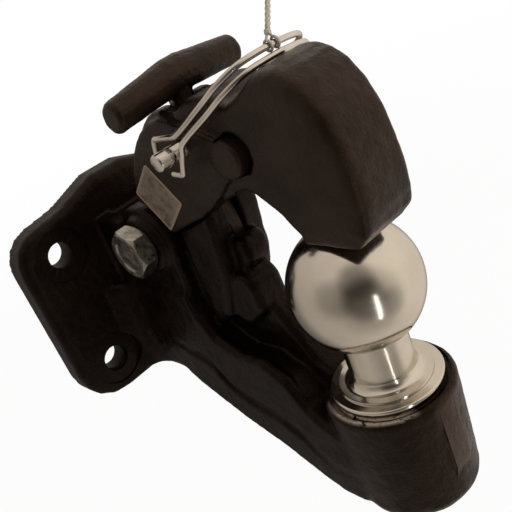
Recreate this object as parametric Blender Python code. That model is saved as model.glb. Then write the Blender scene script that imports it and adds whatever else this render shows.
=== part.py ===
"""Combination hitch: a forged body with a tow ball, and a pivoting latch locked by a lever and a pin.

The origin is the centre of the mounting plate's back face. +X points forward from the plate to the
ball, +Y points to the side of the pivot nut and the lock pin's head, and +Z points up.
"""
import math

import bmesh
import bpy
import numpy as np
from mathutils import Matrix, Vector

MM = 0.001
SEAT_GAP = 0.3 * MM          # left between pieces that touch
RUNNING_GAP = 0.4 * MM       # left beside a face that slides
STEEL_FACETS = 26             # sides of the larger turned pieces
SMALL_FACETS = 16             # sides of pins and small bores
WELD = 0.002 * MM            # points nearer than this are one after a Boolean

# Mounting plate
PLATE_THICKNESS = 17 * MM
PLATE_HALF_WIDTH = 71.2 * MM
PLATE_BOTTOM = -55.8 * MM
PLATE_SHOULDER = 51.5 * MM      # height of the top edge at the upper corners
PLATE_TOP = 64 * MM           # height of the top edge in the middle
PLATE_CORNER = 22 * MM
PLATE_EDGE = 4 * MM          # forged edge round the front
HOLE_SPACING_Y = 95.25 * MM
HOLE_SPACING_Z = 69.85 * MM
HOLE_RADIUS = 7.15 * MM
SPOT_RADIUS = 15 * MM
SPOT_DEPTH = 1 * MM

# Latch pivot, an M16 bolt through two ears
PIVOT_X = 62.3 * MM
PIVOT_Z = 31.3 * MM
EAR_RADIUS = 20.5 * MM
EAR_INNER = 11.3 * MM        # half of the gap between the ears
EAR_OUTER = 21.5 * MM
EAR_ROOT_TOP = 42 * MM
SEAT_RADIUS = 15.5 * MM
SEAT_HEIGHT = 3.1 * MM
BOLT_RADIUS = 8 * MM
BOLT_HEAD_HEIGHT = 10 * MM
BOLT_ACROSS_FLATS = 24 * MM
BOLT_HEAD_TURN = 12          # degrees that the head is turned about its axis
BOLT_THREAD_END = 6 * MM     # length of bolt beyond the nut
NUT_HEIGHT = 13 * MM
WASHER_THICKNESS = 4 * MM
WASHER_RADIUS = 13.7 * MM
BORE_GAP = 0.3 * MM
SLEEVE_RADIUS = 11 * MM

# Tower under the latch, and the spine that joins it to the ball boss
TOWER_HALF_WIDTH = 16.5 * MM
TOWER_BACK = 84.6 * MM
TOWER_FRONT = 114 * MM
TOWER_EDGE = 3 * MM
SLOT_HALF_WIDTH = 4.2 * MM
SLOT_FLOOR = 9 * MM
LIP_TOP = 30 * MM
LIP_FRONT = 121.5 * MM
SPINE_HALF_WIDTH = 8 * MM
SPINE_EDGE = 3 * MM
FLANK_WIDTH = 13 * MM        # raised flank of the spine below the tower

# Ball and its boss
BALL_X = 176.2 * MM
BALL_Z = 9.8 * MM
BALL_RADIUS = 29.37 * MM     # 2-5/16 inch ball
NECK_RADIUS = 15 * MM
COLLAR_TOP = -38.4 * MM
COLLAR_RADIUS = 26 * MM
COLLAR_STEP_RADIUS = 21.8 * MM
COLLAR_STEP = 1.4 * MM
COLLAR_THICKNESS = 4.8 * MM
SHANK_RADIUS = 12.7 * MM
BOSS_TOP = -41.5 * MM
BOSS_BOTTOM = -100 * MM
BOSS_TOP_RADIUS = 30.5 * MM
BOSS_BOTTOM_RADIUS = 29 * MM
BOSS_FILLET = 5 * MM
LAND_HALF_WIDTH = 6.2 * MM   # flat strip down the front, where the forging was trimmed
LAND_FRONT = 206.6 * MM
LAND_BOTTOM = -88 * MM
SPOTFACE_RADIUS = 28.2 * MM
COUNTERBORE_RADIUS = 23.4 * MM
COUNTERBORE_DEPTH = 30 * MM
BALL_NUT_HEIGHT = 21 * MM
BALL_NUT_ACROSS_FLATS = 38.1 * MM
BALL_WASHER_RADIUS = 20.5 * MM
BALL_WASHER_THICKNESS = 5 * MM

# Latch
NOSE_HALF_WIDTH = 15.5 * MM
NOSE_EDGE = 7 * MM
CHEEK_HALF_WIDTH = 19 * MM
CHEEK_EDGE = 3.5 * MM
PAD_X = 148.3 * MM           # round pad at the front of each cheek
PAD_Z = 76 * MM
PAD_RADIUS = 8.7 * MM
PAD_PROUD = 0.4 * MM         # pad above the cheek
PAD_HOLLOW = 3.5 * MM        # depth of the crescent hollow round the pad
HOLLOW_RADIUS = 9.4 * MM
HOLLOW_SHIFT = 2.6 * MM      # hollow's centre, forward of the pad's
TONGUE_HALF_WIDTH = EAR_INNER - RUNNING_GAP
TONGUE_RADIUS = EAR_RADIUS
SHOULDER_RADIUS = EAR_RADIUS + 2 * MM
LATCH_REST_GAP = 0.3 * MM    # latch underside to tower top
NOSE_BOTTOM = 37.2 * MM
BALL_CLEARANCE = 0.4 * MM

# Lock lever, hinged in the latch
HINGE_X = 102 * MM
HINGE_Z = 66 * MM
LEVER_HALF_WIDTH = 3.6 * MM
LEVER_PIN_RADIUS = 4 * MM
LEVER_EYE_RADIUS = 8.5 * MM
FINGER_RADIUS = 49.5 * MM    # front of the finger, an arc about the latch pivot
FINGER_GAP = 1.5 * MM        # finger to lip
FINGER_BOTTOM = 15 * MM
HEEL_END = 120 * MM
HEEL_BOTTOM = 64.5 * MM
HEEL_TOP = 70.5 * MM
SPRING_X = 115.5 * MM
SPRING_RADIUS = 3 * MM       # to the middle of the wire
SPRING_WIRE = 0.5 * MM       # wire radius
SPRING_TURNS = 4
SPRING_SEAT = 51 * MM        # floor of the spring's pocket

# T-handle
STEM_X = 109.5 * MM
STEM_RADIUS = 6 * MM
STEM_BOTTOM = 92 * MM
HANDLE_Z = 108.5 * MM
HANDLE_HALF_LENGTH = 37 * MM
HANDLE_MID_RADIUS = 8.4 * MM
HANDLE_END_RADIUS = 6.9 * MM
HANDLE_ARCH = 3.5 * MM       # how much lower its ends lie than its middle
HANDLE_CHAMFER = 1.4 * MM
HANDLE_SKEW = 1 * MM         # near end forward and down, far end back and up
HANDLE_SHIFT = 0.7 * MM      # bar towards the near side
HANDLE_RINGS = (-1, -0.96, -0.1, 0.1, 0.96, 1)  # along its half length
ROLL_PIN_Z = 97 * MM
ROLL_PIN_RADIUS = 2 * MM

# Lock pin and its wire bail
PIN_X = 123 * MM
PIN_Z = 82 * MM
PIN_RADIUS = 4 * MM
PIN_TIP = -33.5 * MM
PIN_HEAD_START = 22 * MM
PIN_HEAD_END = 34 * MM
PIN_HEAD_RADIUS = 5.5 * MM
WIRE_RADIUS = 1.3 * MM
BAIL_SPACING = 2.1 * MM      # half the distance between the two wires of the bow
BAIL_HINGE_Y = 28.5 * MM
BAIL_OPENING = 0.15 * MM     # loop ends to pin
BOW_ANGLE = math.radians(32)  # the bow leans forward of the pin, above the X axis

# Label and cord
LABEL_SIZE = (26 * MM, 25 * MM)
LABEL_CENTRE = (87.8 * MM, 57.2 * MM)
LABEL_TURN = math.radians(-51)
LABEL_THICKNESS = 0.3 * MM
CORD_RADIUS = 1.15 * MM
CORD_DIRECTION = Vector((-0.097, 0.527, 0.844)).normalized()
CORD_LENGTH = 46 * MM
CORD_TIE = (BAIL_SPACING / MM, 51.6, 9.3)  # guide point of the bail that the cord is tied round
STRAND_RADIUS = 0.6 * MM
LOOP_RADIUS = WIRE_RADIUS + 0.2 * MM + STRAND_RADIUS
KNOT_RADIUS = 2 * MM

PIVOT = Vector((PIVOT_X, 0, PIVOT_Z))
HINGE = Vector((HINGE_X, 0, HINGE_Z))
PIN = Vector((PIN_X, 0, PIN_Z))
BALL = Vector((BALL_X, 0, BALL_Z))
SIDE = Vector((0, 1, 0))
UP = Vector((0, 0, 1))
BOW_OUT = Vector((math.cos(BOW_ANGLE), 0, math.sin(BOW_ANGLE)))
BOW_ACROSS = Vector((-math.sin(BOW_ANGLE), 0, math.cos(BOW_ANGLE)))


def clear_scene():
    for item in list(bpy.data.objects):
        bpy.data.objects.remove(item, do_unlink=True)


def material(name, colour, roughness, metallic):
    made = bpy.data.materials.new(name)
    made.use_nodes = True
    shader = made.node_tree.nodes["Principled BSDF"]
    shader.inputs["Base Color"].default_value = (*colour, 1)
    shader.inputs["Roughness"].default_value = roughness
    shader.inputs["Metallic"].default_value = metallic
    return made


def mesh_object(name, bm):
    bmesh.ops.recalc_face_normals(bm, faces=bm.faces)
    mesh = bpy.data.meshes.new(name)
    bm.to_mesh(mesh)
    bm.free()
    made = bpy.data.objects.new(name, mesh)
    bpy.context.scene.collection.objects.link(made)
    return made


def in_mm(points):
    return [(u * MM, v * MM) for u, v in points]


def arc(centre, radius, start, end, steps):
    """Points on an arc about centre, from start to end in degrees."""
    angles = [math.radians(start + (end - start) * i / steps) for i in range(steps + 1)]
    return [(centre[0] + radius * math.cos(a), centre[1] + radius * math.sin(a)) for a in angles]


def rounded(corners, steps=4):
    """An outline whose corners (u, v, radius) are rounded by arcs."""
    outline = []
    for i, (u, v, radius) in enumerate(corners):
        here = Vector((u, v))
        before = (Vector(corners[i - 1][:2]) - here)
        after = (Vector(corners[(i + 1) % len(corners)][:2]) - here)
        if radius <= 0:
            outline.append((u, v))
            continue
        half = before.angle(after) / 2
        reach = min(radius / math.tan(half), before.length * 0.49, after.length * 0.49)
        radius = reach * math.tan(half)
        start = here + before.normalized() * reach
        centre = here + (before.normalized() + after.normalized()).normalized() * radius / math.sin(half)
        first = start - centre
        last = here + after.normalized() * reach - centre
        turn = first.angle_signed(last)
        for step in range(steps + 1):
            point = first.copy()
            point.rotate(Matrix.Rotation(-turn * step / steps, 2))
            outline.append(tuple(centre + point))
    return outline


def prism(name, outline, low, high, axis="Y", edge=0.0, steps=2):
    """Extrude an outline along an axis, with both rims rounded by edge.

    The outline lies in the two other axes, in X, Y, Z order.
    """
    place = {
        "X": lambda u, v, w: (w, u, v),
        "Y": lambda u, v, w: (u, w, v),
        "Z": lambda u, v, w: (u, v, w),
    }[axis]
    bm = bmesh.new()
    near = [bm.verts.new(place(u, v, low)) for u, v in outline]
    base = bm.faces.new(near)
    grown = bmesh.ops.extrude_face_region(bm, geom=[base])
    moved = [item for item in grown["geom"] if isinstance(item, bmesh.types.BMVert)]
    step = Vector(place(0, 0, high - low))
    bmesh.ops.translate(bm, verts=moved, vec=step)
    bmesh.ops.recalc_face_normals(bm, faces=bm.faces)
    if edge > 0:
        rims = [e for e in bm.edges if any(len(f.verts) == len(outline) for f in e.link_faces)]
        bmesh.ops.bevel(bm, geom=rims, offset=edge, segments=steps, profile=0.5,
                        affect="EDGES", clamp_overlap=True)
    return mesh_object(name, bm)


def ring_faces(bm, rings, closed_ends):
    """Skin a list of vertex rings, closing the ends with faces or joining last to first."""
    count = len(rings[0])
    pairs = zip(rings, rings[1:] + ([] if closed_ends else rings[:1]))
    for one, two in pairs:
        for i in range(count):
            bm.faces.new((one[i], one[(i + 1) % count], two[(i + 1) % count], two[i]))
    if closed_ends:
        bm.faces.new(rings[0])
        bm.faces.new(rings[-1])


def turned(name, profile, origin, axis, facets=STEEL_FACETS, turn=0.0):
    """Turn a profile of (radius, height) points about an axis through origin.

    A profile that starts and ends on the axis is a solid; any other one is a closed ring.
    """
    bm = bmesh.new()
    frame = axis.to_track_quat("Z", "Y").to_matrix()
    solid = profile[0][0] == 0
    rows = profile[1:-1] if solid else profile
    rings = []
    for radius, height in rows:
        ring = []
        for i in range(facets):
            angle = turn + 2 * math.pi * i / facets
            point = Vector((radius * math.cos(angle), radius * math.sin(angle), height))
            ring.append(bm.verts.new(origin + frame @ point))
        rings.append(ring)
    if solid:
        for i in range(len(rings) - 1):
            ring_pair(bm, rings[i], rings[i + 1])
        for ring, height in ((rings[0], profile[0][1]), (rings[-1], profile[-1][1])):
            pole = bm.verts.new(origin + frame @ Vector((0, 0, height)))
            for i in range(facets):
                bm.faces.new((ring[i], ring[(i + 1) % facets], pole))
    else:
        ring_faces(bm, rings, closed_ends=False)
    return mesh_object(name, bm)


def ring_pair(bm, one, two):
    count = len(one)
    for i in range(count):
        bm.faces.new((one[i], one[(i + 1) % count], two[(i + 1) % count], two[i]))


def rod(name, radius, low, high, origin, axis, chamfer=0.0, facets=SMALL_FACETS, turn=0.0):
    """A solid round bar between two heights along an axis."""
    if chamfer > 0:
        rows = [(0, low), (radius - chamfer, low), (radius, low + chamfer),
                (radius, high - chamfer), (radius - chamfer, high), (0, high)]
    else:
        rows = [(0, low), (radius, low), (radius, high), (0, high)]
    return turned(name, rows, origin, axis, facets, turn)


def combine(target, other, operation):
    """Apply a Boolean of another object to the target, and remove the other object."""
    modifier = target.modifiers.new("boolean", "BOOLEAN")
    modifier.operation = operation
    modifier.solver = "EXACT"
    modifier.object = other
    graph = bpy.context.evaluated_depsgraph_get()
    result = bpy.data.meshes.new_from_object(target.evaluated_get(graph))
    target.modifiers.clear()
    bm = bmesh.new()
    bm.from_mesh(result)
    bmesh.ops.remove_doubles(bm, verts=bm.verts, dist=WELD)
    bmesh.ops.dissolve_degenerate(bm, edges=bm.edges, dist=WELD)
    bm.to_mesh(result)
    bm.free()
    old = target.data
    target.data = result
    bpy.data.meshes.remove(old)
    bpy.data.objects.remove(other, do_unlink=True)
    return target


def fuse(target, *others):
    for other in others:
        combine(target, other, "UNION")
    return target


def cut(target, *others):
    for other in others:
        combine(target, other, "DIFFERENCE")
    return target


def mirrored_pair(make):
    """Make a piece for each side; make takes the sign of the side."""
    return [make(-1), make(1)]


def between(sign, inner, outer):
    """The low and high Y of a slab that lies on one side."""
    return (inner, outer) if sign > 0 else (-outer, -inner)


def smooth_path(points, steps):
    """A Catmull-Rom curve through points, with the given steps on each span."""
    guide = [points[0] * 2 - points[1], *points, points[-1] * 2 - points[-2]]
    path = []
    for a, b, c, d in zip(guide, guide[1:], guide[2:], guide[3:]):
        for i in range(steps):
            t = i / steps
            path.append(0.5 * ((2 * b) + (c - a) * t + (2 * a - 5 * b + 4 * c - d) * t ** 2
                               + (3 * b - a - 3 * c + d) * t ** 3))
    path.append(points[-1])
    return path


def wire(name, points, radius, resolution=1):
    """A round wire with closed ends along a list of points."""
    curve = bpy.data.curves.new(name, "CURVE")
    curve.dimensions = "3D"
    curve.bevel_depth = radius
    curve.bevel_resolution = resolution
    curve.use_fill_caps = True
    spline = curve.splines.new("POLY")
    spline.points.add(len(points) - 1)
    for slot, point in zip(spline.points, points):
        slot.co = (*point, 1)
    made = bpy.data.objects.new(name, curve)
    bpy.context.scene.collection.objects.link(made)
    return made


def beam_section(x, half_width, top, bottom, pocket, groove):
    """One cross-section of the lower beam: a rounded block, grooved at its sides and hollow on top."""
    edge = 2.5 * MM
    rim = 6 * MM
    mid = bottom + (top - bottom) * 0.42
    side = [
        (half_width - edge, bottom),
        (half_width, bottom + edge),
        (half_width, mid - 4 * MM),
        (half_width - groove, mid - 1.5 * MM),
        (half_width - groove, mid + 1.5 * MM),
        (half_width, mid + 4 * MM),
        (half_width - 1.5 * MM, top - edge),
        (half_width - edge - 1.5 * MM, top),
        (half_width - rim, top),
        (half_width - rim - 3 * MM, top - pocket),
    ]
    left = [(-y, z) for y, z in reversed(side)]
    return [Vector((x, y, z)) for y, z in side + left]


def beam():
    """The wide lower beam from the plate to the ball boss, lofted through sections along X."""
    top_x, top_z = zip(*in_mm([(8, 4), (79, 4), (81, -8), (88, -21.5), (103, -28.5), (121, -28.5),
                               (134, -36), (143, -49), (158, -60), (176, -62)]))
    low_x, low_z = zip(*in_mm([(8, -52.3), (34, -52.5), (45, -54.6), (57, -60.4), (90, -76.5),
                                (122, -88.5), (140, -96), (152, -99), (176, -99.5)]))
    wide_x, wide_y = zip(*in_mm([(8, 40), (17, 37), (23, 30), (32, 26), (45, 25), (60, 26), (110, 26),
                                 (135, 27), (150, 28), (165, 28), (176, 24)]))
    stations = [8, 17, 23, 32, 45, 57, 70, 79, 81, 88, 96, 103, 112, 121, 128, 134, 143, 152, 165, 176]
    bm = bmesh.new()
    rings = []
    for x in (s * MM for s in stations):
        pocket = 4 * MM * float(np.interp(x, [82 * MM, 90 * MM, 132 * MM, 142 * MM], [0.1, 1, 1, 0.1]))
        groove = 2 * MM * float(np.interp(x, [45 * MM, 70 * MM, 128 * MM, 150 * MM], [0.1, 1, 1, 0.1]))
        section = beam_section(x, float(np.interp(x, wide_x, wide_y)), float(np.interp(x, top_x, top_z)),
                               float(np.interp(x, low_x, low_z)), pocket, groove)
        rings.append([bm.verts.new(point) for point in section])
    ring_faces(bm, rings, closed_ends=True)
    return mesh_object("beam", bm)


def plate():
    corners = [
        (-PLATE_HALF_WIDTH, PLATE_BOTTOM, PLATE_CORNER),
        (PLATE_HALF_WIDTH, PLATE_BOTTOM, PLATE_CORNER),
        (PLATE_HALF_WIDTH, PLATE_SHOULDER, PLATE_CORNER),
        (PLATE_HALF_WIDTH * 0.5, PLATE_SHOULDER + 4.3 * MM, 30 * MM),
        (11 * MM, PLATE_TOP, 14 * MM),
        (-11 * MM, PLATE_TOP, 14 * MM),
        (-PLATE_HALF_WIDTH * 0.5, PLATE_SHOULDER + 4.3 * MM, 30 * MM),
        (-PLATE_HALF_WIDTH, PLATE_SHOULDER, PLATE_CORNER),
    ]
    outline = rounded(corners, steps=4)
    bm = bmesh.new()
    back = [bm.verts.new((0, y, z)) for y, z in outline]
    front_inset = 1 - PLATE_EDGE * 0.5 / PLATE_HALF_WIDTH
    middle = [bm.verts.new((PLATE_THICKNESS - PLATE_EDGE, y, z)) for y, z in outline]
    bevel = [bm.verts.new((PLATE_THICKNESS - PLATE_EDGE * 0.3, y * front_inset, z * front_inset))
             for y, z in outline]
    front_inset = 1 - PLATE_EDGE * 1.3 / PLATE_HALF_WIDTH
    front = [bm.verts.new((PLATE_THICKNESS, y * front_inset, z * front_inset)) for y, z in outline]
    ring_faces(bm, [back, middle, bevel, front], closed_ends=True)
    return mesh_object("plate", bm)


def ear(sign):
    """One ear of the pivot, with its round seat for the bolt."""
    lobe = arc((PIVOT_X, PIVOT_Z), EAR_RADIUS, 148, -20, 16)
    outline = [(8 * MM, EAR_ROOT_TOP), (40 * MM, EAR_ROOT_TOP), *lobe,
               (80 * MM, 0), (80 * MM, -30 * MM), (8 * MM, -30 * MM)]
    low, high = between(sign, EAR_INNER, EAR_OUTER)
    made = prism("ear", outline, low, high, "Y", 1.5 * MM)
    seat = rod("seat", SEAT_RADIUS, EAR_OUTER - 2 * MM, EAR_OUTER + SEAT_HEIGHT, PIVOT, SIDE * sign,
               chamfer=1 * MM, facets=STEEL_FACETS)
    return fuse(made, seat)


def root_block():
    """The solid behind the tongue, between the ears and the plate."""
    outline = in_mm([(8, 40), (38, 38), (86, 24), (86, -30), (8, -30)])
    return prism("root", outline, -EAR_INNER - 2 * MM, EAR_INNER + 2 * MM, "Y")


def tower():
    """The stop that the latch rests on, with the lever's slot left for later."""
    slope = latch_underside()
    top = [(x, slope(x) - LATCH_REST_GAP) for x in (TOWER_BACK, TOWER_FRONT)]
    front = in_mm([(114.4, 40), (112.2, 27), (110.6, 14), (106, 2), (100, -12), (84.6, -20)])
    return prism("tower", [*top, *front], -TOWER_HALF_WIDTH, TOWER_HALF_WIDTH, "Y", TOWER_EDGE)


def spine():
    """The narrow web from the tower to the boss, with the rounded lip at its top."""
    lip = rounded([(104 * MM, LIP_TOP, 0), (LIP_FRONT, LIP_TOP, 6 * MM), (LIP_FRONT, 18 * MM, 4 * MM),
                   (116.8 * MM, 11 * MM, 5 * MM), (116.6 * MM, -2 * MM, 5 * MM), (126 * MM, -8.5 * MM, 8 * MM),
                   (140 * MM, -36 * MM, 10 * MM), (152 * MM, -43 * MM, 0)])
    foot = in_mm([(168, -43), (168, -80), (104, -60), (84, -24), (84, 20)])
    return prism("spine", [*lip, *foot], -SPINE_HALF_WIDTH, SPINE_HALF_WIDTH, "Y", SPINE_EDGE)


def flank():
    """The raised flank below the tower, on the near side of the spine."""
    outline = rounded([(98 * MM, 8 * MM, 4 * MM), (114 * MM, 14 * MM, 6 * MM), (122 * MM, 8 * MM, 6 * MM),
                       (123 * MM, -8 * MM, 5 * MM), (108 * MM, -18 * MM, 6 * MM), (94 * MM, -12 * MM, 4 * MM)])
    return prism("flank", outline, -FLANK_WIDTH, SPINE_HALF_WIDTH - 1.5 * MM, "Y", 2.5 * MM, 2)


def boss():
    top = BOSS_TOP - BALL_Z
    low = BOSS_BOTTOM - BALL_Z
    profile = [(0, low), (BOSS_BOTTOM_RADIUS - BOSS_FILLET, low),
               (BOSS_BOTTOM_RADIUS - BOSS_FILLET * 0.3, low + BOSS_FILLET * 0.3),
               (BOSS_BOTTOM_RADIUS, low + BOSS_FILLET),
               (BOSS_TOP_RADIUS, top - 2.5 * MM), (BOSS_TOP_RADIUS - 0.8 * MM, top - 0.6 * MM),
               (BOSS_TOP_RADIUS - 1.6 * MM, top), (0, top)]
    made = turned("boss", profile, BALL, UP, facets=32)
    outline = rounded([(BALL_X, BOSS_TOP - 2 * MM, 0), (LAND_FRONT - 1.5 * MM, BOSS_TOP - 2 * MM, 2 * MM),
                       (LAND_FRONT, LAND_BOTTOM + 10 * MM, 6 * MM), (LAND_FRONT - 7 * MM, LAND_BOTTOM, 4 * MM),
                       (BALL_X, LAND_BOTTOM, 0)])
    return fuse(made, prism("land", outline, -LAND_HALF_WIDTH, LAND_HALF_WIDTH, "Y"))


def latch_underside():
    """Height of the latch's underside above the tower, as a function of X."""
    def height(x):
        return 43.2 * MM + (x - 102.7 * MM) * 0.355
    return height


def body_cutters():
    cutters = []
    for y in (-HOLE_SPACING_Y / 2, HOLE_SPACING_Y / 2):
        for z in (-HOLE_SPACING_Z / 2, HOLE_SPACING_Z / 2):
            centre = Vector((0, y, z))
            hole = rod("hole", HOLE_RADIUS, -5 * MM, PLATE_THICKNESS + 5 * MM, centre, Vector((1, 0, 0)))
            spot = rod("spot", SPOT_RADIUS, PLATE_THICKNESS - SPOT_DEPTH, PLATE_THICKNESS + 9 * MM,
                       centre, Vector((1, 0, 0)), facets=24)
            cutters += [hole, spot]
    outer = EAR_OUTER + SEAT_HEIGHT + 5 * MM
    cutters.append(rod("pivot_bore", BOLT_RADIUS + BORE_GAP, -outer, outer, PIVOT, SIDE))
    cutters.append(rod("tongue_pocket", TONGUE_RADIUS + 1.2 * MM, -EAR_INNER, EAR_INNER, PIVOT, SIDE,
                       facets=STEEL_FACETS))
    gap = in_mm([(41.5, 31.3), (84.4, 31.3), (84.4, 70), (36, 70), (36, 44)])
    cutters.append(prism("ear_gap", gap, -EAR_INNER, EAR_INNER, "Y"))
    behind_lip = arc((PIVOT_X, PIVOT_Z), FINGER_RADIUS + FINGER_GAP, -26, -2, 8)
    slot = [(80 * MM, SLOT_FLOOR), *behind_lip, (126 * MM, LIP_TOP + 0.5 * MM),
            (126 * MM, 60 * MM), (80 * MM, 60 * MM)]
    cutters.append(prism("lever_slot", slot, -SLOT_HALF_WIDTH, SLOT_HALF_WIDTH, "Y"))
    floor = COLLAR_TOP - COLLAR_THICKNESS - SEAT_GAP - BALL_Z
    bottom = BOSS_BOTTOM - BALL_Z
    bore = SHANK_RADIUS + BORE_GAP
    stepped = [(0, bottom - 5 * MM), (COUNTERBORE_RADIUS, bottom - 5 * MM),
               (COUNTERBORE_RADIUS, bottom + COUNTERBORE_DEPTH), (bore, bottom + COUNTERBORE_DEPTH),
               (bore, floor), (SPOTFACE_RADIUS, floor), (SPOTFACE_RADIUS, 0), (0, 0)]
    cutters.append(turned("ball_bore", stepped, BALL, UP, 36))
    return cutters


def hitch_body():
    made = plate()
    made.name = "hitch_body"
    fuse(made, beam(), root_block(), *mirrored_pair(ear), tower(), spine(), flank(), boss())
    return cut(made, *body_cutters())


def nose_outline():
    """The side view of the whole latch above the throat, clockwise from the shoulder."""
    slope = latch_underside()
    rear = in_mm([(67, 55), (69.5, 61.5), (75, 72.5), (82, 81.7), (88, 87.6), (94, 92.2), (100, 95.7),
                  (105, 97.4), (109, 98), (112, 97.8), (116, 96.6), (120, 96), (123, 96.8), (127, 99.2),
                  (132, 101.4), (139, 102.7), (144, 102.2), (148, 100.4), (152, 98), (156, 97.3),
                  (160, 98.8), (165, 102.2), (171, 106), (175, 107.8), (179, 108.4), (184, 107.9),
                  (190, 105.6), (195.8, 101), (201.8, 92.2), (205.2, 81.9), (207.2, 71.2),
                  (207.8, 59), (207.6, 50), (205.8, 43)])
    throat = in_mm([(171.5, 38.2), (171.5, 41), (165.4, 49.3), (160.1, 54.2), (154, 58.6), (148.4, 60.6),
                    (143, 59.8), (136, 56.6), (125, 51.6)])
    return [*rear, (200 * MM, NOSE_BOTTOM), (173 * MM, NOSE_BOTTOM), *throat,
            (114.7 * MM, slope(114.7 * MM)), (86 * MM, slope(86 * MM))]


def cheek_outline():
    """The wider rear part, which ends in front in the round pads."""
    slope = latch_underside()
    rear = in_mm([(67, 55), (69.5, 61), (75, 71), (82, 80), (89, 86), (95, 90), (104, 94.2),
                  (112, 95.6), (120, 94.2), (130, 91), (141, 86.6)])
    front = in_mm([(148, 84), (152, 76), (148, 68), (141, 64), (133, 57.6), (126, 53)])
    shoulder = arc((PIVOT_X, PIVOT_Z), SHOULDER_RADIUS, 15, 79, 8)
    return [*rear, *front, (114.7 * MM, slope(114.7 * MM)), (86.5 * MM, slope(86.5 * MM)), *shoulder]


def cheek_pad(sign):
    """The round pad that ends a cheek, proud of the nose."""
    return rod("pad", PAD_RADIUS, NOSE_HALF_WIDTH - 2 * PAD_HOLLOW, CHEEK_HALF_WIDTH + PAD_PROUD,
               Vector((PAD_X, 0, PAD_Z)), SIDE * sign, 0.8 * MM, 20)


def pad_hollow(sign):
    """The hollow in the nose's side, of which a crescent stays open round the pad."""
    return rod("hollow", HOLLOW_RADIUS, NOSE_HALF_WIDTH - PAD_HOLLOW, NOSE_HALF_WIDTH + 5 * MM,
               Vector((PAD_X + HOLLOW_SHIFT, 0, PAD_Z + 0.4 * HOLLOW_SHIFT)), SIDE * sign, facets=20)


def latch_cutters():
    cutters = [turned("ball_dish", ball_profile(BALL_RADIUS + BALL_CLEARANCE), BALL, UP)]
    cutters.append(rod("pivot_bore", SLEEVE_RADIUS + BORE_GAP, -30 * MM, 30 * MM, PIVOT, SIDE,
                       facets=STEEL_FACETS))
    slot_half = LEVER_HALF_WIDTH + 0.7 * MM
    slot = in_mm([(90, 30), (113, 30), (113, 51), (121.5, 51), (121.5, 110), (100, 110), (92, 74)])
    cutters.append(prism("lever_slot", slot, -slot_half, slot_half, "Y"))
    pocket = rounded([(101.5 * MM, 87.2 * MM, 1 * MM), (124 * MM, 87.2 * MM, 1 * MM),
                      (126 * MM, 112 * MM, 0), (100.5 * MM, 112 * MM, 0)])
    cutters.append(prism("stem_pocket", pocket, -STEM_RADIUS - 1.5 * MM, STEM_RADIUS + 1.5 * MM, "Y"))
    blind = CHEEK_HALF_WIDTH - 5 * MM
    cutters.append(rod("lever_pin_bore", LEVER_PIN_RADIUS + BORE_GAP, -blind, 30 * MM, HINGE, SIDE))
    cutters.append(rod("lock_pin_bore", PIN_RADIUS + BORE_GAP, -30 * MM, 30 * MM, PIN, SIDE))
    return cutters


def latch():
    made = prism("latch", nose_outline(), -NOSE_HALF_WIDTH, NOSE_HALF_WIDTH, "Y", NOSE_EDGE, 3)
    cheeks = prism("cheeks", cheek_outline(), -CHEEK_HALF_WIDTH, CHEEK_HALF_WIDTH, "Y", CHEEK_EDGE)
    tongue_disc = arc((PIVOT_X, PIVOT_Z), TONGUE_RADIUS, 100, 372, 20)
    tongue = prism("tongue", [*tongue_disc, (88 * MM, 44 * MM), (72 * MM, 60 * MM)],
                   -TONGUE_HALF_WIDTH, TONGUE_HALF_WIDTH, "Y")
    ears_room = rod("ears_room", SHOULDER_RADIUS, -40 * MM, 40 * MM, PIVOT, SIDE, facets=STEEL_FACETS)
    cut(made, *mirrored_pair(pad_hollow))
    fuse(made, cheeks, *mirrored_pair(cheek_pad))
    cut(made, ears_room)
    fuse(made, tongue)
    return cut(made, *latch_cutters())


def lock_lever():
    """The flat lever: blade above the hinge, heel for the spring, and finger behind the lip."""
    front = arc((PIVOT_X, PIVOT_Z), FINGER_RADIUS, 28, -19, 8)
    eye_front = arc((HINGE_X, HINGE_Z), LEVER_EYE_RADIUS, -40, -60, 2)
    outline = [
        (105 * MM, 102 * MM), (114 * MM, 102 * MM), (113 * MM, 90 * MM), (111 * MM, HEEL_TOP + 4 * MM),
        (113 * MM, HEEL_TOP), (HEEL_END, HEEL_TOP), (HEEL_END, HEEL_BOTTOM), (112 * MM, HEEL_BOTTOM),
        *eye_front, *front, (103 * MM, FINGER_BOTTOM), (99.5 * MM, 20 * MM), (97 * MM, 48 * MM),
        *arc((HINGE_X, HINGE_Z), LEVER_EYE_RADIUS, 215, 120, 6), (103 * MM, 86 * MM),
    ]
    made = prism("lock_lever", outline, -LEVER_HALF_WIDTH, LEVER_HALF_WIDTH, "Y", 0.6 * MM, 1)
    hinge = rod("hinge_bore", LEVER_PIN_RADIUS + BORE_GAP, -10 * MM, 10 * MM, HINGE, SIDE)
    pin = rod("roll_bore", ROLL_PIN_RADIUS + 0.15 * MM, -10 * MM, 10 * MM,
              Vector((STEM_X, 0, ROLL_PIN_Z)), SIDE)
    return cut(made, hinge, pin)


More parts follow.
